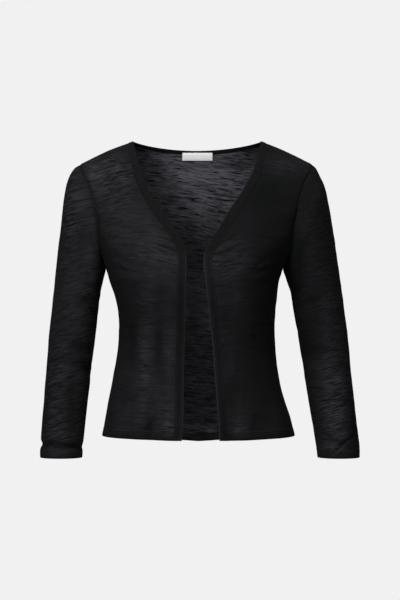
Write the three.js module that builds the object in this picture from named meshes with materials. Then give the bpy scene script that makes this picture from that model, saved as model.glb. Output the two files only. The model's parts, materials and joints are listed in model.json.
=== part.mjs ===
// A cropped, open-fronted cardigan in fine slub jersey, with set-in three-quarter sleeves.
// It keeps the hollow form of someone standing with the arms hanging. Sizes are in millimetres.
// +Z is up, the open front faces -Y, and the wearer's left is +X.
// The origin is on the inner face of the band at the centre back of the neck.
import * as THREE from 'three';

// ---- Cloth ----
const WALL = 1.2; // one layer of jersey with its loft
const HEM_WALL = 2.2; // where the cloth is turned up on the inside
const HEM_TURN = 13; // height of the hem's turn-up
const CUFF_TURN = 14.5; // height of the cuff's turn-up
const TURN_STEP = 0.4; // height over which the wall thickens
const SEAM = 0.3; // air between two pieces at a seam
const MITRE_LIMIT = 0.32; // least cosine used where two walls meet at a fold

// ---- Bands and label ----
const BAND_WIDTH = 12; // front bands
const NAPE_WIDTH = 7; // the band at the shoulder and round the back neck
const BAND_WIDENS_TO = -45; // height where the front band reaches its full width
const BAND_PROUD = 0.4; // how far the band stands out from the cloth's outer face
const BAND_DEEP = 1.6; // how far it reaches in from that face
const LABEL = { x: 1.5, wide: 52, top: -1.5, tall: 14, under: 2.15, thick: 1 };

// ---- Heights of the body ----
const NECK_Z = 11.5; // neck end of the shoulder seam
const SHOULDER_Z = -26; // sleeve end of the shoulder seam
const ARMPIT_Z = -193;
const HEM_SIDE_Z = -458.5;
const HEM_FRONT_Z = -462;
const HEM_BACK_Z = -473;
const ARM_FRONT = 53; // armhole's reach forward of the side seam's plane
const ARM_BACK = 48; // and its reach behind that plane

// ---- Grid ----
const ARM_ROWS = 12; // rows between the shoulder and the armpit
const SIDE_ROWS = 13; // rows between the armpit and the hem's turn-up
const SIDE_GRADE = 1.3; // how much closer those rows are near the bust
const HEM_ROWS = 2; // rows in the hem's turn-up
const FRONT_COLUMNS = 14;
const NECK_COLUMNS = 7; // half of the back neck
const SHOULDER_COLUMNS = 6; // one back shoulder
const BAND_COLUMNS = 2;
const LABEL_COLUMNS = 4;
const LABEL_ROWS = 2;
const AROUND = 2 * ARM_ROWS; // points round a sleeve
const SMALL = 0.2; // step for measuring how a surface leans
const TINY = 0.05; // step along an edge
const SETTLE_STEPS = 6; // steps that bring a point onto the surface
const HALVINGS = 40; // halvings that find the shoulder seam's height

// ---- Sections of the body: half width, depth forward and back of the side seams, squareness,
// and how far the section's middle has swayed to one side ----
const BODY = [
  { z: 30, half: 54, front: 36, back: 56.4, square: 2, sway: -0.5 },
  { z: 11.5, half: 102, front: 46, back: 58.6, square: 2, sway: -0.5 },
  { z: 3, half: 125, front: 49, back: 59, square: 2, sway: -1.4 },
  { z: -3, half: 140, front: 52, back: 60, square: 2, sway: -2.2 },
  { z: -19, half: 173, front: 58, back: 65, square: 2, sway: -2.2 },
  { z: -26, half: 186, front: 61, back: 68, square: 2, sway: -2.2 },
  { z: -44, half: 202, front: 68, back: 73, square: 2.03, sway: -2.2 },
  { z: -63, half: 204, front: 76, back: 78, square: 2.05, sway: -2.2 },
  { z: -94, half: 193, front: 88, back: 85, square: 2.15, sway: -2.2 },
  { z: -121, half: 175, front: 98, back: 88, square: 2.3, sway: -2.4 },
  { z: -160, half: 156.5, front: 110, back: 90, square: 2.4, sway: -3.4 },
  { z: -193, half: 141, front: 117, back: 88, square: 2.4, sway: -5 },
  { z: -211, half: 135.8, front: 118.5, back: 85.5, square: 2.4, sway: -5.2 },
  { z: -237, half: 129.3, front: 116, back: 80, square: 2.4, sway: -2.4 },
  { z: -262, half: 125.6, front: 111, back: 73.5, square: 2.4, sway: -1.1 },
  { z: -288, half: 124.4, front: 106, back: 68, square: 2.4, sway: -1 },
  { z: -313, half: 125.6, front: 102.5, back: 66, square: 2.4, sway: -1.2 },
  { z: -339, half: 128.3, front: 100.5, back: 67, square: 2.4, sway: -2 },
  { z: -377, half: 134.8, front: 100, back: 72, square: 2.4, sway: -2.4 },
  { z: -403, half: 140.9, front: 101, back: 77.5, square: 2.35, sway: -1.4 },
  { z: -428, half: 147.4, front: 103, back: 83, square: 2.3, sway: 0.4 },
  { z: -458, half: 153.8, front: 105.5, back: 89, square: 2.2, sway: 1.5 },
  { z: -480, half: 158, front: 107, back: 93, square: 2.2, sway: 2 },
];

// ---- Front edges: distance from the middle to the finished edge of each front ----
const EDGES = [
  { z: 11.5, right: 102.5, left: 101.5 },
  { z: -12, right: 96.4, left: 95.8 },
  { z: -35, right: 89.8, left: 88.8 },
  { z: -70, right: 75.7, left: 70.8 },
  { z: -97, right: 59, left: 53.2 },
  { z: -108, right: 51, left: 46.5 },
  { z: -132, right: 34, left: 32.6 },
  { z: -153, right: 21.8, left: 18.6 },
  { z: -170, right: 17.3, left: 11 },
  { z: -184, right: 17, left: 9.4 },
  { z: -219, right: 17.9, left: 13.6 },
  { z: -248, right: 18.6, left: 16.8 },
  { z: -290, right: 19.4, left: 21 },
  { z: -313, right: 20, left: 23.4 },
  { z: -360, right: 21, left: 27 },
  { z: -430, right: 22, left: 32.6 },
  { z: -462, right: 24.5, left: 34.4 },
];

// ---- Sleeves: distance from the middle to the outer line of each sleeve ----
const SLEEVE_OUTER = [
  { z: -26, right: 188.2, left: 183.8 },
  { z: -32, right: 197, left: 189.5 },
  { z: -45, right: 204.9, left: 196.2 },
  { z: -57, right: 208.9, left: 201.9 },
  { z: -70, right: 211.7, left: 205.8 },
  { z: -83, right: 213.8, left: 208.6 },
  { z: -109, right: 216.9, left: 213.5 },
  { z: -147, right: 221.3, left: 219.4 },
  { z: -198, right: 226.6, left: 226.7 },
  { z: -249, right: 232, left: 233.6 },
  { z: -301, right: 237.4, left: 239.8 },
  { z: -352, right: 241, left: 244.2 },
  { z: -403, right: 244.6, left: 249.7 },
  { z: -454, right: 248.7, left: 255.6 },
  { z: -480, right: 250.2, left: 258 },
  { z: -493, right: 249.8, left: 257.8 },
];

// ---- Sleeves: distance from the middle to the inner line, from the armpit down ----
const SLEEVE_INNER = [
  { z: -193, right: 146, left: 136 },
  { z: -211, right: 150.7, left: 142.4 },
  { z: -224, right: 153.3, left: 146.2 },
  { z: -249, right: 157.1, left: 151.4 },
  { z: -275, right: 160, left: 156 },
  { z: -301, right: 162.9, left: 160.6 },
  { z: -352, right: 168.5, left: 168.4 },
  { z: -403, right: 174.6, left: 176.8 },
  { z: -454, right: 180, left: 185.2 },
  { z: -480, right: 182.5, left: 189.5 },
  { z: -493, right: 183.6, left: 191.4 },
];

// ---- Sleeves: half depth, and how far the arm has drifted forward ----
const SLEEVE_DEPTH = [
  { z: -109, deep: 50.5, forward: 2.5 },
  { z: -120, deep: 54, forward: 2.5 },
  { z: -136, deep: 57.5, forward: 2.5 },
  { z: -165, deep: 56.2, forward: 2.5 },
  { z: -212, deep: 51.5, forward: 3 },
  { z: -262, deep: 47.5, forward: 5 },
  { z: -320, deep: 44.5, forward: 10 },
  { z: -380, deep: 41, forward: 15 },
  { z: -440, deep: 38.5, forward: 20 },
  { z: -493, deep: 38.5, forward: 24 },
];
const CAP_TOPS = [-26, -29.5, -35, -43, -53, -66, -82, -101, -124, -150, -180, -212];
const CAP_UNDERS = [-193, -194.6, -196.2, -197.8, -199.4, -201, -202.6, -204.2, -206, -208, -210, -212];
const CUFF_Z = -492.5;
const ARM_RINGS = 11; // rings from the bicep to the lower arm
const LOWER_ARM_Z = -450;
const WRIST_RINGS = 3; // rings from the lower arm to the cuff's turn-up
const CUFF_RINGS = 2;

// ---- Soft relief of the body ----
const BUST = { x: 86, z: -212, rise: 14, wide: 46, above: 48, below: 95 };
const BLADES = { x: 78, z: -105, rise: 4, wide: 42, above: 45, below: 60 };
// Flutes that open towards the hem: where they stand, how far they lift or sink, how wide and how high
const FLUTES = [
  { face: -1, x: -107, lift: -2.2, wide: 12, top: -350 },
  { face: -1, x: -74, lift: -4, wide: 13, top: -300 },
  { face: -1, x: -46, lift: 3.2, wide: 12, top: -310 },
  { face: -1, x: 53, lift: -4, wide: 12, top: -330 },
  { face: -1, x: 78, lift: 3.4, wide: 13, top: -350 },
  { face: -1, x: 112, lift: -2.6, wide: 13, top: -340 },
  { face: 1, x: -96, lift: -3, wide: 16, top: -320 },
  { face: 1, x: -52, lift: 3, wide: 18, top: -340 },
  { face: 1, x: 6, lift: -3.6, wide: 18, top: -290 },
  { face: 1, x: 58, lift: 3.2, wide: 17, top: -335 },
  { face: 1, x: 104, lift: -2.8, wide: 15, top: -325 },
];
// Creases of the sleeves: the arm, turn round it from its outer line towards the front, height,
// drop over each quarter turn, depth, thickness and spread round the arm
const CREASES = [
  { side: -1, turn: 130, z: -318, drop: -16, depth: 2, thick: 9, spread: 50 },
  { side: -1, turn: 145, z: -352, drop: -22, depth: 2.2, thick: 9, spread: 45 },
  { side: -1, turn: 60, z: -473, drop: 0, depth: 1.5, thick: 5, spread: 150 },
  { side: 1, turn: 150, z: -226, drop: -14, depth: 1.8, thick: 9, spread: 45 },
  { side: 1, turn: 140, z: -330, drop: -18, depth: 2, thick: 9, spread: 50 },
  { side: 1, turn: 100, z: -462, drop: 20, depth: 1.8, thick: 6, spread: 50 },
  { side: -1, turn: 235, z: -335, drop: 16, depth: 2.2, thick: 9, spread: 50 },
  { side: 1, turn: 235, z: -345, drop: 16, depth: 2.2, thick: 9, spread: 50 },
  { side: 1, turn: 260, z: -452, drop: -14, depth: 1.6, thick: 7, spread: 50 },
];

// ---- Colours ----
const JERSEY = { color: 0x232326, roughness: 0.9, metalness: 0 };
const BINDING = { color: 0x29292c, roughness: 0.88, metalness: 0 };
const WOVEN_LABEL = { color: 0xf1f1ef, roughness: 0.8, metalness: 0 };

const FRONT = -1;
const BACK = 1;
const RIGHT = -1;
const LEFT = 1;
const QUARTER = Math.PI / 2;
const FULL_TURN = 360; // in degrees, as the creases are placed

const mix = (a, b, t) => a + (b - a) * t;
const bell = (t) => Math.exp(-t * t);
const point = (x, y, z) => new THREE.Vector3(x, y, z);
const sideName = (side) => (side === LEFT ? 'left' : 'right');

// Eases from 0 to 1, and stays there on each side.
function ease(t) {
  const held = Math.min(Math.max(t, 0), 1);
  return held * held * (3 - 2 * held);
}

// One column of a table as a smooth function of height, with no overshoot between its rows.
function column(rows, key) {
  const at = rows.map((row) => -row.z);
  const value = rows.map((row) => row[key]);
  const last = rows.length - 1;
  const rise = value.slice(1).map((v, i) => (v - value[i]) / (at[i + 1] - at[i]));
  const slope = value.map((_, i) => {
    const before = rise[Math.max(i - 1, 0)];
    const after = rise[Math.min(i, last - 1)];
    return before * after > 0 ? (2 * before * after) / (before + after) : 0;
  });
  return (z) => {
    const t = Math.min(Math.max(-z, at[0]), at[last]);
    let i = 0;
    while (i < last - 1 && t > at[i + 1]) {
      i += 1;
    }
    const step = at[i + 1] - at[i];
    const s = (t - at[i]) / step;
    const r = 1 - s;
    const fromValues = value[i] * (1 + 2 * s) * r * r + value[i + 1] * s * s * (1 + 2 * r);
    return fromValues + step * s * r * (slope[i] * r - slope[i + 1] * s);
  };
}

const halfAt = column(BODY, 'half');
const frontAt = column(BODY, 'front');
const backAt = column(BODY, 'back');
const squareAt = column(BODY, 'square');
const swayAt = column(BODY, 'sway');
const edgeAt = { left: column(EDGES, 'left'), right: column(EDGES, 'right') };
const outerAt = { left: column(SLEEVE_OUTER, 'left'), right: column(SLEEVE_OUTER, 'right') };
const innerAt = { left: column(SLEEVE_INNER, 'left'), right: column(SLEEVE_INNER, 'right') };
const deepAt = column(SLEEVE_DEPTH, 'deep');
const forwardAt = column(SLEEVE_DEPTH, 'forward');

// The side and shoulder seams lie in one upright plane, set so that the nape is at the origin.
const MID_Y = -(backAt(0) - BAND_DEEP + SEAM / 2);

// A pair of soft swellings, one each side of the middle.
function pair(form, x, z) {
  const away = (Math.abs(x) - form.x) / form.wide;
  const up = z - form.z;
  return form.rise * bell(away) * bell(up / (up > 0 ? form.above : form.below));
}

// How far the body's section reaches forward or back of the side seams near one point.
function depthAt(face, x, z) {
  const plain = face === FRONT ? frontAt(z) + pair(BUST, x, z) : backAt(z) + pair(BLADES, x, z);
  return FLUTES.filter((flute) => flute.face === face).reduce((sum, flute) => {
    const open = ease((flute.top - z) / (flute.top - HEM_BACK_Z));
    return sum + flute.lift * open * bell((x - flute.x) / flute.wide);
  }, plain);
}

// A point of the cloth's outer face, given across and up.
function bodyPoint(face, x, z) {
  const square = squareAt(z);
  const across = Math.abs(x - swayAt(z)) / halfAt(z);
  const reach = Math.max(1 - across ** square, 0) ** (1 / square);
  return point(x, MID_Y + face * (SEAM / 2 + depthAt(face, x, z) * reach), z);
}

// Zero on the cloth's outer face, less than zero inside the body and more outside it.
function fullness(face, p) {
  const square = squareAt(p.z);
  const across = Math.abs(p.x - swayAt(p.z)) / halfAt(p.z);
  const deep = Math.max(Math.abs(p.y - MID_Y) - SEAM / 2, 0) / depthAt(face, p.x, p.z);
  return across ** square + deep ** square - 1;
}

// How the fullness rises along each axis.
function steepness(face, p) {
  const rise = point(0, 0, 0);
  for (const axis of ['x', 'y', 'z']) {
    const more = p.clone();
    const less = p.clone();
    more[axis] += SMALL;
    less[axis] -= SMALL;
    rise[axis] = (fullness(face, more) - fullness(face, less)) / (2 * SMALL);
  }
  if (Math.abs(p.y - MID_Y) < SEAM) {
    rise.y = 0;
  }
  return rise;
}

const outward = (face, p) => steepness(face, p).normalize();

// Moves a point that is nearly on the cloth onto it.
function settle(face, p) {
  const q = p.clone();
  for (let i = 0; i < SETTLE_STEPS; i += 1) {
    const rise = steepness(face, q);
    q.addScaledVector(rise, -fullness(face, q) / rise.lengthSq());
  }
  return q;
}

// Height of the shoulder seam at a given distance across, found by halving.
function shoulderHeight(x) {
  let high = NECK_Z;
  let low = SHOULDER_Z;
  for (let i = 0; i < HALVINGS; i += 1) {
    const z = (high + low) / 2;
    if (Math.abs(x - swayAt(z)) > halfAt(z)) {
      high = z;
    } else {
      low = z;
    }
  }
  return (high + low) / 2;
}

// The share of the way from the shoulder to the armpit that a row has come.
const dropShare = (row) => (1 - Math.cos((Math.PI * Math.min(row, ARM_ROWS)) / ARM_ROWS)) / 2;

// Heights down one line of a panel: close near the shoulder and the armpit, then wider to the hem.
function heights(top, hem) {
  const list = [];
  for (let i = 0; i <= ARM_ROWS; i += 1) {
    list.push(mix(top, ARMPIT_Z, dropShare(i)));
  }
  const turn = hem + HEM_TURN;
  for (let i = 1; i <= SIDE_ROWS; i += 1) {
    list.push(mix(ARMPIT_Z, turn + TURN_STEP, (i / SIDE_ROWS) ** SIDE_GRADE));
  }
  for (let i = 0; i <= HEM_ROWS; i += 1) {
    list.push(mix(turn, hem, i / HEM_ROWS));
  }
  return list;
}

const SIDE_HEIGHTS = heights(SHOULDER_Z, HEM_SIDE_Z);
const ROWS = SIDE_HEIGHTS.length;
const FIRST_HEM_ROW = ROWS - 1 - HEM_ROWS;
const wallAt = (row) => (row >= FIRST_HEM_ROW ? HEM_WALL : WALL);

// How much of the shoulder line's own shape each row still follows.
const fadeAt = (row) => (1 - dropShare(row)) ** 2;

// A point of the armhole seam. The turn is 0 at the shoulder, a quarter at the front and a half at
// the armpit, so that the sleeve and both panels share its points.
function armholePoint(side, step) {
  const turn = (Math.PI * step) / ARM_ROWS;
  const z = mix(ARMPIT_Z, SHOULDER_Z, (1 + Math.cos(turn)) / 2);
  const atSeam = step % ARM_ROWS === 0;
  const face = step <= ARM_ROWS ? FRONT : BACK;
  const deep = atSeam ? 0 : Math.abs(Math.sin(turn)) * (face === FRONT ? ARM_FRONT : ARM_BACK);
  const square = squareAt(z);
  let x = swayAt(z) + side * halfAt(z);
  for (let i = 0; i < SETTLE_STEPS; i += 1) {
    const across = (1 - (deep / depthAt(face, x, z)) ** square) ** (1 / square);
    x = swayAt(z) + side * halfAt(z) * across;
  }
  return point(x, MID_Y + (atSeam ? 0 : face * (SEAM / 2 + deep)), z);
}

// ---- Sleeve surface ----

// How far a crease sinks the sleeve at one place.
function creaseDepth(side, turn, z) {
  return CREASES.filter((crease) => crease.side === side).reduce((sum, crease) => {
    const away = ((turn - crease.turn + 1.5 * FULL_TURN) % FULL_TURN) - FULL_TURN / 2;
    const line = crease.z + (crease.drop * away) / (FULL_TURN / 4);
    return sum + crease.depth * bell((z - line) / crease.thick) * bell(away / crease.spread);
  }, 0);
}

// The heights of each ring at the outer line and at the underarm.
function ringHeights() {
  const rings = CAP_TOPS.map((top, i) => ({ top, under: CAP_UNDERS[i] }));
  const add = (z) => rings.push({ top: z, under: z });
  const bicep = CAP_TOPS[CAP_TOPS.length - 1];
  const turn = CUFF_Z + CUFF_TURN;
  for (let i = 1; i <= ARM_RINGS; i += 1) {
    add(mix(bicep, LOWER_ARM_Z, i / ARM_RINGS));
  }
  for (let i = 1; i <= WRIST_RINGS; i += 1) {
    add(mix(LOWER_ARM_Z, turn + TURN_STEP, i / WRIST_RINGS));
  }
  for (let i = 0; i <= CUFF_RINGS; i += 1) {
    add(mix(turn, CUFF_Z, i / CUFF_RINGS));
  }
  return rings;
}

// A plain oval ring of the sleeve, through its outer line and its underarm line.
function ovalPoint(side, ring, step) {
  const name = sideName(side);
  const turn = (Math.PI * step) / ARM_ROWS;
  const top = point(side * outerAt[name](ring.top), 0, ring.top);
  const under = point(side * innerAt[name](ring.under), 0, ring.under);
  const middle = top.clone().add(under).multiplyScalar(0.5);
  const sunk = creaseDepth(side, THREE.MathUtils.radToDeg(turn), middle.z);
  const reach = top.sub(under).multiplyScalar(0.5);
  const shrink = 1 - sunk / reach.length();
  const deep = deepAt(middle.z) - sunk;
  const p = middle.clone().addScaledVector(reach, Math.cos(turn) * shrink);
  p.y = MID_Y - forwardAt(middle.z) - deep * Math.sin(turn);
  return p;
}

// The sleeve's rings, which grow out of the armhole and round off into plain ovals at the bicep.
function sleeveRings(side) {
  const rings = ringHeights();
  const cap = CAP_TOPS.length - 1;
  return rings.map((ring, j) => {
    const blend = (1 - Math.min(j / cap, 1)) ** 2;
    const row = [];
    for (let i = 0; i < AROUND; i += 1) {
      const fromSeam = armholePoint(side, i).sub(ovalPoint(side, rings[0], i));
      row.push(ovalPoint(side, ring, i).addScaledVector(fromSeam, blend));
    }
    return row;
  });
}

// Which way the sleeve's outer face looks at one grid point.
function sleeveOutward(side, rings, j, i) {
  const around = rings[j][(i + 1) % AROUND].clone().sub(rings[j][(i + AROUND - 1) % AROUND]);
  const below = rings[Math.min(j + 1, rings.length - 1)][i];
  const above = rings[Math.max(j - 1, 0)][i];
  return around.cross(below.clone().sub(above)).multiplyScalar(side).normalize();
}

// The armhole seam of one side: for each point, the seam, the mitre line that both walls share,
// its length, and the way across the seam towards the sleeve.
function armholeSeam(side, rings) {
  const seam = [];
  for (let i = 0; i < AROUND; i += 1) {
    const at = rings[0][i];
    const face = i <= ARM_ROWS ? FRONT : BACK;
    const bodyOut = outward(face, at);
    const mitre = bodyOut.clone().add(sleeveOutward(side, rings, 0, i));
    if (i % ARM_ROWS === 0) {
      mitre.y = 0;
    }
    mitre.normalize();
    const around = rings[0][(i + 1) % AROUND].clone().sub(rings[0][(i + AROUND - 1) % AROUND]);
    const across = rings[1][i].clone().sub(at);
    for (const line of [mitre, around.normalize()]) {
      across.addScaledVector(line, -across.dot(line));
    }
    const lengthen = 1 / Math.max(mitre.dot(bodyOut), MITRE_LIMIT);
    seam.push({ at, mitre, lengthen, across: across.normalize() });
  }
  return seam;
}

// ---- Closed solids from two matching grids ----

// Joins an outer grid and an inner grid into one closed wall. A round wall meets itself.
function wallGeometry(outer, inner, round) {
  const rows = outer.length;
  const columns = outer[0].length;
  const points = [...outer.flat(), ...inner.flat()];
  const o = (r, c) => r * columns + (c % columns);
  const n = (r, c) => rows * columns + o(r, c);
  const index = [];
  const quad = (a, b, c, d) => index.push(a, b, c, a, c, d);
  const spans = round ? columns : columns - 1;
  for (let r = 0; r < rows - 1; r += 1) {
    for (let c = 0; c < spans; c += 1) {
      quad(o(r, c), o(r + 1, c), o(r + 1, c + 1), o(r, c + 1));
      quad(n(r, c), n(r, c + 1), n(r + 1, c + 1), n(r + 1, c));
    }
    if (!round) {
      const c = columns - 1;
      quad(o(r + 1, 0), o(r, 0), n(r, 0), n(r + 1, 0));
      quad(o(r, c), o(r + 1, c), n(r + 1, c), n(r, c));
    }
  }
  for (let c = 0; c < spans; c += 1) {
    const r = rows - 1;
    quad(o(0, c), o(0, c + 1), n(0, c + 1), n(0, c));
    quad(o(r, c + 1), o(r, c), n(r, c), n(r, c + 1));
  }
  let volume = 0;
  for (let i = 0; i < index.length; i += 3) {
    const [a, b, c] = [points[index[i]], points[index[i + 1]], points[index[i + 2]]];
    volume += a.dot(b.clone().cross(c));
  }
  if (volume < 0) {
    index.reverse();
  }
  const geometry = new THREE.BufferGeometry();
  const flat = points.flatMap((p) => [p.x, p.y, p.z]);
  geometry.setAttribute('position', new THREE.Float32BufferAttribute(flat, 3));
  geometry.setIndex(index);
  geometry.computeVertexNormals();
  return geometry;
}

function piece(name, geometry, finish) {
  const material = new THREE.MeshStandardMaterial({ ...finish, name: `${name}_cloth` });
  const mesh = new THREE.Mesh(geometry, material);
  mesh.name = name;
  return mesh;
}

// A panel's inner face: each outer point moved in by the wall, but along the mitre at the armhole.
function innerFace(face, outer, isArmhole, seamAt) {
  return outer.map((row, r) => row.map((p, c) => {
    if (isArmhole(r, c)) {
      const seam = seamAt(r, c);
      return p.clone().addScaledVector(seam.mitre, -wallAt(r) * seam.lengthen);
    }
    return p.clone().addScaledVector(outward(face, p), -wallAt(r));
  }));
}

// The side end of one row of a panel: a point of the armhole seam above the armpit, and of the
// side seam below it, on the panel's own side of the seam plane.
function sideEnd(face, side, seam, row) {
  const z = SIDE_HEIGHTS[row];
  if (row > ARM_ROWS) {
    return point(swayAt(z) + side * halfAt(z), MID_Y + (face * SEAM) / 2, z);
  }
  const p = seam[seamStep(face, row)].at.clone();
  if (row % ARM_ROWS === 0) {
    p.y = MID_Y + (face * SEAM) / 2;
  }
  return p;
}

// The armhole's point that a row of the front or back ends on.
function seamStep(face, row) {
  return face === FRONT ? row : (AROUND - row) % AROUND;
}

// ---- Edge lines ----

// A line's finished edge and, a band's width in along the cloth, the seam of its band.
function bandLine(face, edge, nearby, width, inwards) {
  const along = nearby.clone().sub(edge).normalize();
  const across = along.cross(outward(face, edge)).normalize();
  across.multiplyScalar(Math.sign(across.dot(inwards)) || 1);
  const seam = settle(face, edge.clone().addScaledVector(across, width));
  return { edge, seam, across };
}

// The front edge of one side, one entry for each row.
function frontLine(side) {
  const name = sideName(side);
  const at = (z) => bodyPoint(FRONT, side * edgeAt[name](z), z);
  return heights(NECK_Z, HEM_FRONT_Z).map((z, row) => {
    const edge = at(z);
    if (row === 0) {
      edge.y = MID_Y - SEAM / 2;
    }
    const widen = ease((NECK_Z - z) / (NECK_Z - BAND_WIDENS_TO));
    const width = mix(NAPE_WIDTH, BAND_WIDTH, widen);
    return bandLine(FRONT, edge, at(z - TINY), width, point(side, 0, 0));
  });
}

// The back neck, from its middle to the end of one shoulder seam.
function neckLine(side) {
  const at = (turn) => {
    const z = NECK_Z * Math.sin(turn) ** 2;
    return bodyPoint(BACK, swayAt(z) + side * halfAt(NECK_Z) * Math.sin(turn), z);
  };
  const line = [];
  for (let i = 0; i <= NECK_COLUMNS; i += 1) {
    const turn = (QUARTER * i) / NECK_COLUMNS;
    const edge = at(turn);
    if (i === NECK_COLUMNS) {
      edge.y = MID_Y + SEAM / 2;
    }
    line.push(bandLine(BACK, edge, at(turn - TINY / halfAt(NECK_Z)), NAPE_WIDTH, point(side, 0, -1)));
  }
  return line;
}

// ---- Pieces ----

function frontPanel(side, line, seam) {
  const shoulder = [];
  const start = line[0].seam;
  const tip = sideEnd(FRONT, side, seam, 0);
  for (let c = 0; c <= FRONT_COLUMNS; c += 1) {
    const x = mix(start.x, tip.x, c / FRONT_COLUMNS);
    const isEnd = c === 0 || c === FRONT_COLUMNS;
    const z = isEnd ? mix(start.z, tip.z, c / FRONT_COLUMNS) : shoulderHeight(x);
    shoulder.push(point(x, MID_Y - SEAM / 2, z));
  }
  const outer = line.map((entry, row) => {
    const end = sideEnd(FRONT, side, seam, row);
    const rounding = dropShare(row);
    return shoulder.map((top, c) => {
      if (row === 0) {
        return top;
      }
      if (c === 0) {
        return entry.seam;
      }
      if (c === FRONT_COLUMNS) {
        return end;
      }
      const u = c / FRONT_COLUMNS;
      const lift = top.z - mix(start.z, tip.z, u);
      const x = mix(entry.seam.x, end.x, mix(u, Math.sin(QUARTER * u), rounding));
      return bodyPoint(FRONT, x, mix(entry.seam.z, end.z, u) + fadeAt(row) * lift);
    });
  });
  const isArmhole = (r, c) => c === FRONT_COLUMNS && r <= ARM_ROWS;
  const inner = innerFace(FRONT, outer, isArmhole, (r) => seam[seamStep(FRONT, r)]);
  return piece(`front_${sideName(side)}`, wallGeometry(outer, inner, false), JERSEY);
}

function halfBack(side, line, seam) {
  const start = line[0].seam;
  const tip = sideEnd(BACK, side, seam, 0);
  const corner = line[NECK_COLUMNS].seam;
  const top = line.map((entry) => entry.seam);
  top[NECK_COLUMNS].y = MID_Y + SEAM / 2;
  for (let c = 1; c <= SHOULDER_COLUMNS; c += 1) {
    const x = mix(corner.x, tip.x, c / SHOULDER_COLUMNS);
    const z = c === SHOULDER_COLUMNS ? tip.z : shoulderHeight(x);
    top.push(point(x, MID_Y + SEAM / 2, z));
  }
  const last = top.length - 1;
  const middle = heights(start.z, HEM_BACK_Z);
  return middle.map((zMiddle, row) => {
    const end = sideEnd(BACK, side, seam, row);
    const rounding = dropShare(row);
    return top.map((from, c) => {
      if (row === 0) {
        return from;
      }
      if (c === last) {
        return end;
      }
      const u = c / last;
      const atTop = (from.x - start.x) / (tip.x - start.x);
      const across = mix(atTop, Math.sin(QUARTER * u), rounding);
      const lift = from.z - mix(start.z, tip.z, u);
      const centre = swayAt(zMiddle);
      const z = mix(zMiddle, end.z, u) + fadeAt(row) * lift;
      return bodyPoint(BACK, mix(centre, end.x, across), z);
    });
  });
}

function backPanel(lines, seams) {
  const rightHalf = halfBack(RIGHT, lines.right, seams.right);
  const leftHalf = halfBack(LEFT, lines.left, seams.left);
  const outer = rightHalf.map((row, r) => [...row.slice(1).reverse(), ...leftHalf[r]]);
  const last = outer[0].length - 1;
  const isArmhole = (r, c) => (c === 0 || c === last) && r <= ARM_ROWS;
  const seamAt = (r, c) => (c === 0 ? seams.right : seams.left)[seamStep(BACK, r)];
  const inner = innerFace(BACK, outer, isArmhole, seamAt);
  return piece('back', wallGeometry(outer, inner, false), JERSEY);
}

// A band between an edge and its seam. It stands a little proud of the cloth on both faces.
function band(name, face, line) {
  const outer = [];
  const inner = [];
  for (const entry of line) {
    const near = entry.seam.clone().addScaledVector(entry.across, -SEAM);
    const outerRow = [];
    const innerRow = [];
    for (let c = 0; c <= BAND_COLUMNS; c += 1) {
      const p = near.clone().lerp(entry.edge, c / BAND_COLUMNS);
      const onSeam = Math.abs(p.y - MID_Y) < SEAM;
      const q = c === BAND_COLUMNS ? p : settle(face, p);
      if (onSeam) {
        q.y = MID_Y + (face * SEAM) / 2;
      }
      const out = outward(face, q);
      outerRow.push(q.clone().addScaledVector(out, BAND_PROUD));
      innerRow.push(q.clone().addScaledVector(out, -BAND_DEEP));
    }
    outer.push(outerRow);
    inner.push(innerRow);
  }
  return piece(name, wallGeometry(outer, inner, false), BINDING);
}

function sleeve(side, rings, seam) {
  const outer = rings.map((ring, j) => ring.map((p, i) => {
    return j === 0 ? p.clone().addScaledVector(seam[i].across, SEAM) : p.clone();
  }));
  const firstCuffRing = rings.length - 1 - CUFF_RINGS;
  const inner = outer.map((ring, j) => ring.map((p, i) => {
    if (j === 0) {
      return p.clone().addScaledVector(seam[i].mitre, -WALL * seam[i].lengthen);
    }
    const wall = j >= firstCuffRing ? HEM_WALL : WALL;
    return p.clone().addScaledVector(sleeveOutward(side, rings, j, i), -wall);
  }));
  return piece(`sleeve_${sideName(side)}`, wallGeometry(outer, inner, true), JERSEY);
}

// The label lies against the inside of the neck band and the back below it.
function neckLabel() {
  const moveIn = (line, far) => line.map((p) => p.clone().addScaledVector(outward(BACK, p), -far));
  const outer = [];
  const inner = [];
  for (let r = 0; r <= LABEL_ROWS; r += 1) {
    const z = LABEL.top - (LABEL.tall * r) / LABEL_ROWS;
    const line = [];
    for (let c = 0; c <= LABEL_COLUMNS; c += 1) {
      line.push(bodyPoint(BACK, LABEL.x + LABEL.wide * (c / LABEL_COLUMNS - 0.5), z));
    }
    outer.push(moveIn(line, LABEL.under));
    inner.push(moveIn(line, LABEL.under + LABEL.thick));
  }
  return piece('label', wallGeometry(outer, inner, false), WOVEN_LABEL);
}

const cardigan = new THREE.Group();
cardigan.name = 'cropped_cardigan';

const rings = { right: sleeveRings(RIGHT), left: sleeveRings(LEFT) };
const seams = { right: armholeSeam(RIGHT, rings.right), left: armholeSeam(LEFT, rings.left) };
const neckLines = { right: neckLine(RIGHT), left: neckLine(LEFT) };
for (const side of [RIGHT, LEFT]) {
  const name = sideName(side);
  const line = frontLine(side);
  cardigan.add(frontPanel(side, line, seams[name]));
  cardigan.add(band(`front_band_${name}`, FRONT, line));
  cardigan.add(sleeve(side, rings[name], seams[name]));
}
cardigan.add(backPanel(neckLines, seams));
const wholeNeck = [...neckLines.right.slice(1).reverse(), ...neckLines.left];
cardigan.add(band('neck_band_back', BACK, wholeNeck));
cardigan.add(neckLabel());

export default cardigan;
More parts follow.
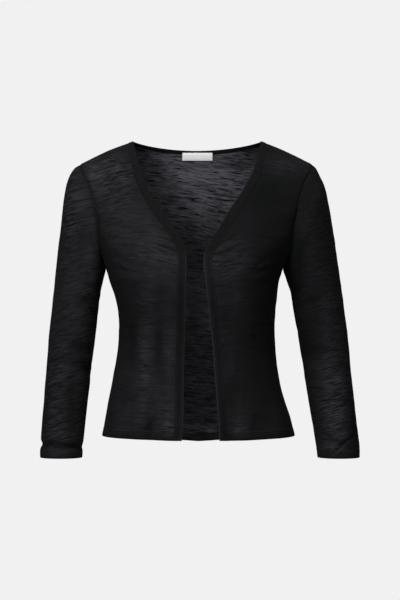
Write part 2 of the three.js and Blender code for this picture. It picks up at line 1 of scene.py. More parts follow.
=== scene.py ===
# %% [markdown]
# # A cropped cardigan in sheer black slub jersey
#
# This lesson dresses a plain measured model of a cardigan. The measured model, called the frame
# here, is loaded first and is never changed: it says where each panel, band and sleeve is and how
# big it is. Each of its plain solids is then replaced by a piece with the real cloth's thickness,
# folds, seams, stitches and finish.
#
# We could drape flat patterns over a body with a cloth simulation. Here the frame already holds
# the worn shape, so it is surer to work that shape out again on a finer grid and add the folds to
# it.

# %% Load the frame
import json
import math

import bpy
import numpy as np
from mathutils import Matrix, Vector

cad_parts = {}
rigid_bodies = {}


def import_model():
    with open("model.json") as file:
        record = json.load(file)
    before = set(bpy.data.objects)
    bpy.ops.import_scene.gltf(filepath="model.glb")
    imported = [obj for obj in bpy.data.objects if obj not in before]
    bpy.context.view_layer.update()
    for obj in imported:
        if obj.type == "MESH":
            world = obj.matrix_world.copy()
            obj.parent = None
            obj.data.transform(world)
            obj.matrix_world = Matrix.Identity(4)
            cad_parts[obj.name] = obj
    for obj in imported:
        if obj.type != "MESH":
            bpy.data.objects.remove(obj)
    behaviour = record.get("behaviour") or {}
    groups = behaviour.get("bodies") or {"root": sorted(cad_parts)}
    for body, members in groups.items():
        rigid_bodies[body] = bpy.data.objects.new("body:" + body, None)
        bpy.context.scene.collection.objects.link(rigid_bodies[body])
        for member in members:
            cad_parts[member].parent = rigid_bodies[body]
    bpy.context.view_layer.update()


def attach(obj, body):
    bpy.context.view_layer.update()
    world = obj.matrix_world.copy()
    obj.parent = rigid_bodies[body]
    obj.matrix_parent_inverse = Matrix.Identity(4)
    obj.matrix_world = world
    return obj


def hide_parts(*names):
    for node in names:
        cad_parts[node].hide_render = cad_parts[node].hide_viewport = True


for leftover in list(bpy.data.objects):
    bpy.data.objects.remove(leftover)
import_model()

# %% [markdown]
# ## Sizes
#
# Lengths are kept in millimetres, as a maker would write them, and turned to metres when a mesh is
# made. The cardigan hangs from the nape: the origin is on the inner face of the neck band at the
# centre back. The open front faces -Y, and +X is the wearer's left.

# %% Sizes of the garment
MM = 0.001
FRONT, BACK = -1, 1
RIGHT, LEFT = -1, 1
QUARTER = math.pi / 2

JERSEY_THICK = 0.7
HEM_THICK = 1.5
HEM_TURN = 13.0  # how far the hem is turned up
CUFF_TURN = 14.5
SEAM = 0.3  # the gap left between two pieces where they are sewn together

BAND_WIDTH = 12.0
NAPE_WIDTH = 7.0  # the band's width behind the neck
BAND_WIDENS_TO = -45.0  # the height where a front's band has reached its full width
BAND_DEEP = 1.6

NECK_Z = 11.5  # the neck end of the shoulder seam
SHOULDER_Z = -26.0  # its sleeve end
ARMPIT_Z = -193.0
HEM_SIDE_Z = -458.5
HEM_FRONT_Z = -462.0
HEM_BACK_Z = -473.0
ARM_FRONT = 53.0  # how far the armhole reaches in front of the side seam
ARM_BACK = 48.0  # and how far behind it
CUFF_Z = -492.5
LOWER_ARM_Z = -450.0  # from here down the sleeve's rings lie closer

# %% [markdown]
# The worn shape is a stack of rounded sections. Each row of a table gives one height, and a smooth
# curve through a column gives every height between. A few rows are enough, and moving one number
# moves the cloth around it. For the body a row holds half its width, its depth to the front and to
# the back, how square its oval is (2 is a plain oval) and how far its middle sways sideways.

# %% Sections of the body, front edges and sleeves
BODY = (("z", "half", "front", "back", "square", "sway"), [
    (30, 54, 36, 56.4, 2, -0.5), (11.5, 102, 46, 58.6, 2, -0.5), (3, 125, 49, 59, 2, -1.4),
    (-3, 140, 52, 60, 2, -2.2), (-19, 173, 58, 65, 2, -2.2), (-26, 186, 61, 68, 2, -2.2),
    (-44, 202, 68, 73, 2.03, -2.2), (-63, 204, 76, 78, 2.05, -2.2), (-94, 193, 88, 85, 2.15, -2.2),
    (-121, 175, 98, 88, 2.3, -2.4), (-160, 156.5, 110, 90, 2.4, -3.4),
    (-193, 141, 117, 88, 2.4, -5), (-211, 135.8, 118.5, 85.5, 2.4, -5.2),
    (-237, 129.3, 116, 80, 2.4, -2.4), (-262, 125.6, 111, 73.5, 2.4, -1.1),
    (-288, 124.4, 106, 68, 2.4, -1), (-313, 125.6, 102.5, 66, 2.4, -1.2),
    (-339, 128.3, 100.5, 67, 2.4, -2), (-377, 134.8, 100, 72, 2.4, -2.4),
    (-403, 140.9, 101, 77.5, 2.35, -1.4), (-428, 147.4, 103, 83, 2.3, 0.4),
    (-458, 153.8, 105.5, 89, 2.2, 1.5), (-480, 158, 107, 93, 2.2, 2),
])
EDGES = (("z", "right", "left"), [
    (11.5, 102.5, 101.5), (-12, 96.4, 95.8), (-35, 89.8, 88.8),
    (-70, 75.7, 70.8), (-97, 59, 53.2), (-108, 51, 46.5),
    (-132, 34, 32.6), (-153, 21.8, 18.6), (-170, 17.3, 11),
    (-184, 17, 9.4), (-219, 17.9, 13.6), (-248, 18.6, 16.8),
    (-290, 19.4, 21), (-313, 20, 23.4), (-360, 21, 27),
    (-430, 22, 32.6), (-462, 24.5, 34.4),
])
SLEEVE_OUTER = (("z", "right", "left"), [
    (-26, 188.2, 183.8), (-32, 197, 189.5), (-45, 204.9, 196.2),
    (-57, 208.9, 201.9), (-70, 211.7, 205.8), (-83, 213.8, 208.6),
    (-109, 216.9, 213.5), (-147, 221.3, 219.4), (-198, 226.6, 226.7),
    (-249, 232, 233.6), (-301, 237.4, 239.8), (-352, 241, 244.2),
    (-403, 244.6, 249.7), (-454, 248.7, 255.6), (-480, 250.2, 258),
    (-493, 249.8, 257.8),
])
SLEEVE_INNER = (("z", "right", "left"), [
    (-193, 146, 136), (-211, 150.7, 142.4), (-224, 153.3, 146.2),
    (-249, 157.1, 151.4), (-275, 160, 156), (-301, 162.9, 160.6),
    (-352, 168.5, 168.4), (-403, 174.6, 176.8), (-454, 180, 185.2),
    (-480, 182.5, 189.5), (-493, 183.6, 191.4),
])
SLEEVE_DEPTH = (("z", "deep", "forward"), [
    (-109, 50.5, 2.5), (-120, 54, 2.5), (-136, 57.5, 2.5),
    (-165, 56.2, 2.5), (-212, 51.5, 3), (-262, 47.5, 5),
    (-320, 44.5, 10), (-380, 41, 15), (-440, 38.5, 20),
    (-493, 38.5, 24),
])
# the cap's rings, at the sleeve's outer line and at the underarm
CAP_TOPS = [-26, -29.5, -35, -43, -53, -66, -82, -101, -124, -150, -180, -212]
CAP_UNDERS = [-193, -194.6, -196.2, -197.8, -199.4, -201, -202.6, -204.2, -206, -208, -210, -212]
# swellings: their place, rise and width, and how far they reach up and down
BUST = dict(x=86, z=-212, rise=14, wide=46, above=48, below=95)
BLADES = dict(x=78, z=-105, rise=4, wide=42, above=45, below=60)

# %% [markdown]
# Small helpers come next: `mix` goes part of the way between two values, `ease` starts and stops
# gently, and `bell` is a soft hump. `column` reads one column of a table at any height. A plain
# spline could swing past the rows, which would put a bulge in the cloth where nobody asked for
# one, so its slopes are held back wherever a column turns round.

# %% Smooth reading of a table
def mix(a, b, t):
    return a + (b - a) * t


def ease(t):
    beside_band = np.clip(t, 0, 1)
    return beside_band * beside_band * (3 - 2 * beside_band)


def bell(t):
    return np.exp(-t * t)


def smooth_line(at, value):
    """A smooth function through the points (at, value) that never overshoots them."""
    at, value = np.asarray(at, float), np.asarray(value, float)
    rise = np.diff(value) / np.diff(at)
    before = np.concatenate((rise[:1], rise))
    after = np.concatenate((rise, rise[-1:]))
    agree = before * after > 0
    slope = np.where(agree, 2 * before * after / np.where(agree, before + after, 1), 0)

    def read(t):
        t = np.clip(t, at[0], at[-1])
        i = np.clip(np.searchsorted(at, t) - 1, 0, len(at) - 2)
        step = at[i + 1] - at[i]
        s = (t - at[i]) / step
        r = 1 - s
        through = value[i] * (1 + 2 * s) * r * r + value[i + 1] * s * s * (1 + 2 * r)
        return through + step * s * r * (slope[i] * r - slope[i + 1] * s)

    return read


def column(table, key):
    names, rows = table
    line = smooth_line([-row[0] for row in rows], [row[names.index(key)] for row in rows])
    return lambda z: line(-np.asarray(z, float))


half_at, sway_at, square_at = column(BODY, "half"), column(BODY, "sway"), column(BODY, "square")
front_at, back_at = column(BODY, "front"), column(BODY, "back")
edge_at = {RIGHT: column(EDGES, "right"), LEFT: column(EDGES, "left")}
outer_at = {RIGHT: column(SLEEVE_OUTER, "right"), LEFT: column(SLEEVE_OUTER, "left")}
inner_at = {RIGHT: column(SLEEVE_INNER, "right"), LEFT: column(SLEEVE_INNER, "left")}
deep_at, forward_at = column(SLEEVE_DEPTH, "deep"), column(SLEEVE_DEPTH, "forward")
cap_top = smooth_line(range(len(CAP_TOPS)), CAP_TOPS)
cap_under = smooth_line(range(len(CAP_UNDERS)), CAP_UNDERS)
MID_Y = -(float(back_at(0)) - BAND_DEEP + SEAM / 2)
print("the side seams lie in the plane y =", round(MID_Y, 2), "mm")

# %% [markdown]
# ## The big folds
#
# A cropped jersey front has no weight at its hem, so below the waist it opens into soft upright
# flutes. They are part of the body's own section, so they widen towards the hem and fade out where
# they start. Each line of the table says where one stands, how far it lifts or sinks the cloth,
# how wide it is and where it begins.

# %% Flutes and the body's depth
FLUTES = {
    FRONT: [
        (-107, -2.2, 12, -350), (-74, -4, 13, -300), (-46, 3.2, 12, -310),
        (53, -4, 12, -330), (78, 3.4, 13, -350), (112, -2.6, 13, -340),
    ],
    BACK: [
        (-96, -3, 16, -320), (-52, 3, 18, -340), (6, -3.6, 18, -290),
        (58, 3.2, 17, -335), (104, -2.8, 15, -325),
    ],
}


def pair(form, x, z):
    """A soft swelling on each side of the middle, as over the bust or the shoulder blades."""
    up = z - form["z"]
    reach = np.where(up > 0, form["above"], form["below"])
    return form["rise"] * bell((np.abs(x) - form["x"]) / form["wide"]) * bell(up / reach)


def flutes(face, x, z):
    lift = 0
    for at, rise, wide, top in FLUTES[face]:
        lift = lift + rise * ease((top - z) / (top - HEM_BACK_Z)) * bell((x - at) / wide)
    return lift


def depth_at(face, x, z):
    depth = front_at(z) + pair(BUST, x, z) if face == FRONT else back_at(z) + pair(BLADES, x, z)
    return depth + flutes(face, x, z)


def xyz(x, y, z):
    return np.stack(np.broadcast_arrays(x, y, z), axis=-1)


def body_point(face, x, z):
    square = square_at(z)
    across = np.abs(x - sway_at(z)) / half_at(z)
    reach = np.maximum(1 - across**square, 0) ** (1 / square)
    y = MID_Y + face * (SEAM / 2 + depth_at(face, x, z) * reach)
    return xyz(x, y, z)


print("the front's middle at the hem, mm:", body_point(FRONT, 0, HEM_FRONT_Z).round(1))

# %% [markdown]
# To thicken cloth, or to lay a band, stitch or label on it, we need to know which way it faces.
# The body is the set of points where `fullness` is zero. Its steepest direction is the outward
# normal, and walking down that slope brings a nearby point exactly onto the cloth.

# %% Which way the body faces
SMALL = 0.2
SETTLE_STEPS = 6
TINY = 1e-9


def unit(v):
    return v / np.maximum(np.linalg.norm(v, axis=-1, keepdims=True), TINY)


def dot(a, b):
    return np.sum(a * b, axis=-1, keepdims=True)


def fullness(face, p):
    x, y, z = p[..., 0], p[..., 1], p[..., 2]
    square = square_at(z)
    across = np.abs(x - sway_at(z)) / half_at(z)
    deep = np.maximum(np.abs(y - MID_Y) - SEAM / 2, 0) / depth_at(face, x, z)
    return across**square + deep**square - 1


def steepness(face, p):
    step = SMALL * np.eye(3)
    rise = [fullness(face, p + step[i]) - fullness(face, p - step[i]) for i in range(3)]
    slope = np.stack(rise, axis=-1) / (2 * SMALL)
    slope[..., 1] = np.where(np.abs(p[..., 1] - MID_Y) < SEAM, 0, slope[..., 1])
    return slope


def outward(face, p):
    return unit(steepness(face, p))


def settle(face, p):
    for _ in range(SETTLE_STEPS):
        slope = steepness(face, p)
        p = p - slope * (fullness(face, p)[..., None] / dot(slope, slope))
    return p


print("the way out at the front hem:", outward(FRONT, body_point(FRONT, 0, HEM_FRONT_Z)).round(3))

# %% [markdown]
# ## The grid of the cloth
#
# A panel is a grid of rows and columns. Rows crowd together at the shoulder, at the armpit and in
# the hem, where the shape turns quickly, and spread out between. The armhole is shared: the same
# points end the front, end the back and start the sleeve, so the three always meet.

# %% Rows and columns
ARM_ROWS = 60
SIDE_ROWS = 117
SIDE_GRADE = 1.3  # above 1, so the rows start close together at the armpit
HEM_ROWS = 22
HEM_GRADE = 1.25  # above 1, so they end close together at the hem's edge
FRONT_COLUMNS = 98
EDGE_CROWD = 0.07  # how much the columns crowd at both edges of a front
NECK_COLUMNS = 49
SHOULDER_COLUMNS = 42
AROUND = 2 * ARM_ROWS

row_number = np.arange(ARM_ROWS + SIDE_ROWS + HEM_ROWS + 1)
# how far down the armhole each row is, and how much it still follows the shoulder's slope
drop_share = (1 - np.cos(math.pi * np.minimum(row_number, ARM_ROWS) / ARM_ROWS)) / 2
shoulder_fade = (1 - drop_share) ** 2


def heights(top, hem):
    turn = hem + HEM_TURN
    arm = mix(top, ARMPIT_Z, drop_share[: ARM_ROWS + 1])
    side = mix(ARMPIT_Z, turn, (np.arange(1, SIDE_ROWS + 1) / SIDE_ROWS) ** SIDE_GRADE)
    fold = hem + HEM_TURN * (1 - np.arange(1, HEM_ROWS + 1) / HEM_ROWS) ** HEM_GRADE
    return np.concatenate((arm, side, fold))


SIDE_HEIGHTS = heights(SHOULDER_Z, HEM_SIDE_Z)
ROWS = len(SIDE_HEIGHTS)
above_hem = SIDE_HEIGHTS - HEM_SIDE_Z
print("rows down a panel:", ROWS, "and points round an armhole:", AROUND)

# %% [markdown]
# The shoulder seam is where the body is just as wide as a point is far out, so its height is found
# by halving. An armhole point is given by its height and by how deep it lies in front of the side
# seam or behind it, and is moved sideways until it is on the body.

# %% The shoulder line and the armhole
HALVINGS = 40


def shoulder_height(x):
    high, low = np.full_like(x, NECK_Z), np.full_like(x, SHOULDER_Z)
    for _ in range(HALVINGS):
        z = (high + low) / 2
        outside = np.abs(x - sway_at(z)) > half_at(z)
        high, low = np.where(outside, z, high), np.where(outside, low, z)
    return (high + low) / 2


def armhole(side):
    """The armhole from the shoulder down the front, past the armpit and up the back."""
    step = np.arange(AROUND)
    turn = math.pi * step / ARM_ROWS
    z = mix(ARMPIT_Z, SHOULDER_Z, (1 + np.cos(turn)) / 2)
    at_seam = step % ARM_ROWS == 0
    points = np.zeros((AROUND, 3))
    front_part = step <= ARM_ROWS
    for face, part, reach in ((FRONT, front_part, ARM_FRONT), (BACK, ~front_part, ARM_BACK)):
        deep = np.where(at_seam, 0, np.abs(np.sin(turn)) * reach)[part]
        h = z[part]
        x = sway_at(h) + side * half_at(h)
        for _ in range(SETTLE_STEPS):
            across = (1 - (deep / depth_at(face, x, h)) ** square_at(h)) ** (1 / square_at(h))
            x = sway_at(h) + side * half_at(h) * across
        y = MID_Y + np.where(at_seam[part], 0, face * (SEAM / 2 + deep))
        points[part] = xyz(x, y, h)
    return points


# %% [markdown]
# ## Sleeves
#
# Each sleeve is a tube of rings. The first ring is the armhole itself, and the next ones round off
# into ovals by the biceps, which is how a set-in sleeve behaves. Arms hang a little forward, and
# jersey sleeves crease at the elbow and above the cuff. A crease is placed by its turn round the
# arm from the outer line towards the front, in degrees, and its height. It may drop as it goes
# round, and it wavers a little in depth and in height, as no real crease is even.

# %% Creases of the sleeves
CREASES = {
    # turn, z, drop, depth, thick, spread: the measured model's own, then the cloth's
    RIGHT: [
        (130, -318, -16, 2, 9, 50), (145, -352, -22, 2.2, 9, 45), (60, -473, 0, 1.5, 5, 150),
        (235, -335, 16, 2.2, 9, 50), (150, -222, -15, 1.3, 6, 40), (120, -243, -20, 0.9, 7, 34),
        (155, -262, -18, 1.1, 6, 36), (70, -338, 14, 0.7, 7, 34), (100, -386, -24, 1.0, 7, 38),
        (60, -425, 22, 0.8, 6, 34), (120, -448, -18, 0.9, 5, 36), (215, -240, 15, 1.2, 6, 40),
        (260, -372, -18, 1.0, 7, 40), (300, -455, 14, 0.9, 5, 36), (90, -472, -3, 1.9, 4.2, 110),
        (270, -473, 6, 1.5, 4.2, 90), (62, -460, 23, -1.0, 2.2, 17), (68, -465, 23, 0.8, 2.2, 17),
    ],
    LEFT: [
        (150, -226, -14, 1.8, 9, 45), (140, -330, -18, 2, 9, 50), (100, -462, 20, 1.8, 6, 50),
        (235, -345, 16, 2.2, 9, 50), (260, -452, -14, 1.6, 7, 50), (120, -250, -22, 1.0, 7, 36),
        (160, -285, -16, 1.1, 6, 38), (85, -362, -22, 0.9, 7, 34), (70, -398, 26, 0.8, 7, 34),
        (60, -440, 28, 1.1, 5, 36), (130, -432, -20, 0.9, 5, 32), (75, -474, 12, 0.8, 3.5, 40),
        (215, -238, 15, 1.2, 6, 40), (250, -392, -20, 1.0, 7, 42), (300, -436, 18, 0.8, 6, 36),
        (93, -475, -42, 1.7, 2.1, 25), (93, -480, -42, -1.1, 2.1, 23),
        (50, -460, -34, 2.2, 2.6, 18), (95, -448, 8, 0.7, 3.0, 26), (270, -474, 12, 1.1, 3.6, 60),
    ],
}
QUARTER_TURN, FULL_TURN = 90.0, 360.0
DEPTH_WAVER, DEPTH_WAVE = 0.3, 17
LINE_WAVER, LINE_WAVE = 2, 23


def crease_depth(side, turn, z):
    """How far the creases sink one side's sleeve at a turn round the arm and a height."""
    sunk = np.zeros(np.broadcast(turn, z).shape)
    for at_turn, at_z, drop, depth, thick, spread in CREASES[side]:
        away = (turn - at_turn + 1.5 * FULL_TURN) % FULL_TURN - FULL_TURN / 2
        uneven = 1 + DEPTH_WAVER * np.sin(away / DEPTH_WAVE + at_z)
        line = at_z + drop * away / QUARTER_TURN + LINE_WAVER * np.sin(away / LINE_WAVE + at_turn)
        sunk = sunk + depth * uneven * bell((z - line) / thick) * bell(away / spread)
    return sunk


print("creases, right and left:", len(CREASES[RIGHT]), len(CREASES[LEFT]))

# %% [markdown]
# The rings are set by their heights. In the cap the outer line and the underarm are at different
# heights, so the rings there are tilted; below it they are level. What is missing between the
# first oval and the armhole is shared out over the rings of the cap, less and less further down.

# %% Rings of the sleeves
CAP_RINGS = 66
ARM_RINGS = 104
WRIST_RINGS = 22


def ring_heights():
    """The heights of each ring at the outer line and at the underarm, and its share of the cap."""
    cap = np.linspace(0, len(CAP_TOPS) - 1, CAP_RINGS + 1)
    turn = CUFF_Z + CUFF_TURN
    arm = mix(CAP_TOPS[-1], LOWER_ARM_Z, np.arange(1, ARM_RINGS + 1) / ARM_RINGS)
    wrist = mix(LOWER_ARM_Z, turn, np.arange(1, WRIST_RINGS + 1) / WRIST_RINGS)
    cuff = CUFF_Z + CUFF_TURN * (1 - np.arange(1, HEM_ROWS + 1) / HEM_ROWS) ** HEM_GRADE
    below = np.concatenate((arm, wrist, cuff))
    share = np.concatenate((cap / cap[-1], np.ones(len(below))))
    return np.concatenate((cap_top(cap), below)), np.concatenate((cap_under(cap), below)), share


def oval_rings(side, top_z, under_z):
    turn = 2 * math.pi * np.arange(AROUND) / AROUND
    top_z, under_z = top_z[:, None], under_z[:, None]
    top_x, under_x = side * outer_at[side](top_z), side * inner_at[side](under_z)
    middle_x, middle_z = (top_x + under_x) / 2, (top_z + under_z) / 2
    reach_x, reach_z = (top_x - under_x) / 2, (top_z - under_z) / 2
    sunk = crease_depth(side, np.degrees(turn), middle_z)
    shrink = np.cos(turn) * (1 - sunk / np.hypot(reach_x, reach_z))
    y = MID_Y - forward_at(middle_z) - (deep_at(middle_z) - sunk) * np.sin(turn)
    return xyz(middle_x + reach_x * shrink, y, middle_z + reach_z * shrink)


def sleeve_rings(side):
    top_z, under_z, share = ring_heights()
    tube = oval_rings(side, top_z, under_z)
    from_seam = armhole(side) - tube[0]
    return tube + from_seam * ((1 - share) ** 2)[:, None, None]


def grid_normals(grid, around=False, flip=1):
    """Which way a grid of points faces."""
    if around:
        across = np.roll(grid, -1, axis=1) - np.roll(grid, 1, axis=1)
    else:
        across = np.gradient(grid, axis=1)
    return unit(np.cross(across, np.gradient(grid, axis=0))) * flip


# %% [markdown]
# Where body and sleeve meet at an angle, both walls have to be cut to the same mitre, as two
# boards are at a corner. The mitre points half way between the two normals, and it is lengthened
# so that each wall keeps its thickness.

# %% The mitre at the armhole
MITRE_LIMIT = 0.32  # keeps a sharp corner's mitre from growing too long
MITRE_REACH = 5.0  # how far from the armhole the walls turn to it


def armhole_mitre(side, tube):
    at = tube[0]
    step = np.arange(AROUND)
    front_part = (step <= ARM_ROWS)[:, None]
    body_out = np.where(front_part, outward(FRONT, at), outward(BACK, at))
    sleeve_out = grid_normals(tube, around=True, flip=side)[0]
    mitre = body_out + sleeve_out
    mitre[step % ARM_ROWS == 0, 1] = 0
    mitre = unit(mitre)
    around = unit(np.roll(at, -1, axis=0) - np.roll(at, 1, axis=0))
    across = tube[1] - at
    for line in (mitre, around):
        across = across - line * dot(across, line)
    lengthen = 1 / np.maximum(dot(mitre, body_out), MITRE_LIMIT)
    return dict(at=at, inward=-mitre * lengthen, mitre=mitre, across=unit(across))


rings = {side: sleeve_rings(side) for side in (RIGHT, LEFT)}
above_cuff = ring_heights()[0] - CUFF_Z
seams = {side: armhole_mitre(side, rings[side]) for side in (RIGHT, LEFT)}
print("rings down a sleeve:", len(above_cuff))

# %% [markdown]
# ## Edge lines
#
# A narrow band of the same jersey, cut along the cloth and folded double, finishes both fronts and
# the back neck in one line. Each line holds the finished edge, the seam where the band is sewn on,
# the way across the band and its width.

# %% Front edges and the back neck
NEAR = 0.05


def band_line(face, edge, nearby, width, inwards):
    across = unit(np.cross(unit(nearby - edge), outward(face, edge)))
    across = across * np.where(dot(across, np.asarray(inwards, float)) < 0, -1, 1)
    width = np.broadcast_to(width, len(edge))
    seam = settle(face, edge + across * width[:, None])
    return dict(edge=edge, seam=seam, across=across, width=width)


def front_line(side):
    z = heights(NECK_Z, HEM_FRONT_Z)
    edge = body_point(FRONT, side * edge_at[side](z), z)
    nearby = body_point(FRONT, side * edge_at[side](z - NEAR), z - NEAR)
    edge[0, 1] = MID_Y - SEAM / 2
    width = mix(NAPE_WIDTH, BAND_WIDTH, ease((NECK_Z - z) / (NECK_Z - BAND_WIDENS_TO)))
    return band_line(FRONT, edge, nearby, width, (side, 0, 0))


def neck_edge(side, turn):
    z = NECK_Z * np.sin(turn) ** 2
    return body_point(BACK, sway_at(z) + side * half_at(NECK_Z) * np.sin(turn), z)


def neck_line(side):
    turn = QUARTER * np.arange(NECK_COLUMNS + 1) / NECK_COLUMNS
    edge = neck_edge(side, turn)
    edge[-1, 1] = MID_Y + SEAM / 2
    nearby = neck_edge(side, turn - NEAR / half_at(NECK_Z))
    return band_line(BACK, edge, nearby, NAPE_WIDTH, (side, 0, -1))


front_lines = {side: front_line(side) for side in (RIGHT, LEFT)}
neck_lines = {side: neck_line(side) for side in (RIGHT, LEFT)}
for side, name in ((RIGHT, "right"), (LEFT, "left")):
    steps = np.linalg.norm(np.diff(front_lines[side]["edge"], axis=0), axis=-1)
    print("length of the", name, "front's edge, mm:", round(steps.sum()))

# %% [markdown]
# ## Fronts and back
#
# A front runs from its band to the armhole and side seam, and from the shoulder seam to the hem.
# Each row is spread between those two edges, closer together where the body turns to the side.

# %% Grids of the fronts and the back
def run(grid, axis, flat=(1, 1, 1)):
    """The distance travelled along one axis of a grid, starting from 0."""
    step = np.linalg.norm(np.diff(grid, axis=axis) * np.array(flat), axis=-1)
    start = np.zeros_like(np.take(step, [0], axis=axis))
    return np.concatenate((start, np.cumsum(step, axis=axis)), axis=axis)


def side_end(face, side):
    """The armhole's points down to the armpit and the side seam's below it."""
    z = SIDE_HEIGHTS
    end = xyz(sway_at(z) + side * half_at(z), MID_Y + face * SEAM / 2, z)
    row = np.arange(ARM_ROWS + 1)
    step = row if face == FRONT else (AROUND - row) % AROUND
    end[: ARM_ROWS + 1] = seams[side]["at"][step]
    end[[0, ARM_ROWS], 1] = MID_Y + face * SEAM / 2
    return end


def shoulder_points(face, x):
    """Points along the shoulder seam: of the front, of the back, or of neither where face is 0."""
    return xyz(x, MID_Y + face * SEAM / 2, shoulder_height(x))


def spread_rows(face, start_x, start_z, end, top, at_top, u):
    """Rows from a starting line to the side. The upper ones are lifted to meet the top row."""
    across = mix(at_top, np.sin(QUARTER * u), drop_share[:, None])
    lift = shoulder_fade[:, None] * (top[:, 2] - mix(top[0, 2], end[0, 2], u))
    grid = body_point(face, mix(start_x, end[:, :1], across), mix(start_z, end[:, 2:], u) + lift)
    grid[0], grid[:, -1] = top, end
    return grid


def front_grid(side):
    line, end = front_lines[side]["seam"], side_end(FRONT, side)
    even = np.linspace(0, 1, FRONT_COLUMNS + 1)
    u = even - EDGE_CROWD * np.sin(2 * math.pi * even)
    top = shoulder_points(FRONT, mix(line[0, 0], end[0, 0], u))
    top[[0, -1], 2] = line[0, 2], end[0, 2]
    grid = spread_rows(FRONT, line[:, :1], line[:, 2:], end, top, u, u)
    grid[:, 0] = line
    return grid


def half_back_grid(side):
    neck, end = neck_lines[side]["seam"].copy(), side_end(BACK, side)
    neck[-1, 1] = MID_Y + SEAM / 2
    share = np.arange(1, SHOULDER_COLUMNS + 1) / SHOULDER_COLUMNS
    shoulder = shoulder_points(BACK, mix(neck[-1, 0], end[0, 0], share))
    shoulder[-1, 2] = end[0, 2]
    top = np.concatenate((neck, shoulder))
    u = np.linspace(0, 1, len(top))
    at_top = (top[:, 0] - top[0, 0]) / (top[-1, 0] - top[0, 0])
    middle = heights(top[0, 2], HEM_BACK_Z)[:, None]
    return spread_rows(BACK, sway_at(middle), middle, end, top, at_top, u)


def back_grid():
    right, left = half_back_grid(RIGHT), half_back_grid(LEFT)
    return np.concatenate((right[:, :0:-1], left), axis=1)


grids = {"front_right": front_grid(RIGHT), "front_left": front_grid(LEFT), "back": back_grid()}
for name, grid in grids.items():
    wide, long = run(grid, 1)[:, -1].max(), run(grid, 0)[-1].max()
    print(name, "grid", grid.shape[:2], "widest and longest, mm:", round(wide), round(long))

# %% [markdown]
# ## Soft folds and the cloth's own unevenness
#
# Worn jersey is never quite smooth. It drags in fine slanting folds from the armpit to the bust,
# crumples a little at the waist and waves along the hem. Each fold here is a soft trough: a
# middle, a slant from upright, half its length and width, its depth (less than nothing for a
# ridge) and how far its ends bend.

# %% Folds of the panels
FOLDS = {
    "front_right": [
        # x, z, slant, long, wide, depth, bend
        (-118, -178, 62, 34, 5, 1.0, 6), (-112, -196, 74, 36, 5, 0.9, 4),
        (-116, -216, 84, 30, 4.5, 0.8, -4), (-112, -284, 78, 22, 4, 0.6, 3),
        (-104, -303, 98, 26, 4.5, 0.6, -3), (-61, -322, 0, 92, 9, 1.5, 3),
        (-81, -330, -2, 96, 9, -1.1, 3), (-43, -330, 1, 96, 8, -0.9, -2),
        (-104, -322, -4, 66, 10, 1.4, -5), (-28, -196, 58, 20, 4, 0.5, 3),
        (-60, -404, 7, 52, 7, -0.9, 4), (-77, -448, -12, 20, 3.8, 2.0, 2),
        (-136, -58, 38, 30, 6, 0.7, 5),
    ],
    "front_left": [
        (112, -176, -60, 34, 5, 1.1, 6), (108, -194, -72, 38, 5, 1.0, 4),
        (112, -214, -84, 30, 4.5, 0.8, -4), (110, -280, -80, 24, 4, 0.7, 3),
        (100, -302, -98, 24, 4.5, 0.6, -3), (39, -340, 0, 80, 7, 1.1, -3),
        (22, -320, 3, 90, 7, -0.8, -3), (56, -316, -2, 84, 8, -0.7, 4),
        (92, -328, 5, 66, 9, 0.9, 6), (24, -192, -56, 20, 4, 0.5, 3),
        (66, -406, -6, 50, 7, -0.8, 4), (132, -60, -38, 30, 6, 0.7, -5),
        (90, -440, -12, 26, 5, 0.9, 3),
    ],
    "back": [
        (-108, -176, 60, 38, 6, 1.2, 6), (-104, -204, 76, 34, 5, 0.9, 5),
        (106, -174, -62, 38, 6, 1.2, 6), (104, -206, -74, 34, 5, 0.9, 5),
        (-44, -286, 84, 34, 6, 0.9, 5), (36, -292, 95, 36, 6, 0.9, -5),
        (-96, -276, 72, 26, 5, 0.8, 4), (98, -282, -76, 26, 5, 0.8, 4),
        (-24, -352, 4, 62, 9, 1.0, 4), (30, -366, -6, 58, 9, 1.0, -5),
        (-78, -392, 5, 52, 8, 0.9, 4), (82, -388, -4, 54, 8, 0.9, 4),
        (-14, -150, 3, 44, 10, 0.8, 3), (40, -90, 30, 34, 8, 0.6, 3),
        (-52, -84, -26, 34, 8, 0.6, 3),
    ],
}
FOLD_WAVER, FOLD_WAVE = 0.25, 4


def fold_depth(folds, x, z):
    sunk = np.zeros(x.shape)
    for at_x, at_z, slant, long, wide, depth, bend in folds:
        s, c = math.sin(math.radians(slant)), math.cos(math.radians(slant))
        along = ((x - at_x) * s - (z - at_z) * c) / long
        aside = ((x - at_x) * c + (z - at_z) * s - bend * along * along) / wide
        uneven = 1 + FOLD_WAVER * np.sin(FOLD_WAVE * along + at_x)
        sunk = sunk + depth * uneven * bell(aside * uneven) * bell(along)
    return sunk


print("folds:", {name: len(folds) for name, folds in FOLDS.items()})

# %% [markdown]
# All over, the cloth also rises and falls by a fraction of a millimetre. That is a sum of a few
# waves with seeded directions, which gives the same cloth each time the script runs.

# %% Unevenness of the cloth
WAVE_SPACING = (1.4, 3.0)
SEED = 11
chance = np.random.default_rng(SEED)


def waves(u, v, size, count=9):
    """A gentle unevenness between about -1 and 1, with hollows about `size` millimetres across."""
    total = np.zeros(u.shape)
    for _ in range(count):
        angle, phase = chance.uniform(0, 2 * math.pi, 2)
        pace = 2 * math.pi / (size * chance.uniform(*WAVE_SPACING))
        total += np.cos(pace * (u * math.cos(angle) + v * math.sin(angle)) + phase)
    return total / math.sqrt(count)


def roughness(u, v, hollows):
    """How far the cloth's unevenness sinks it. hollows lists pairs of depth and size."""
    return sum(depth * waves(u, v, size) for depth, size in hollows)
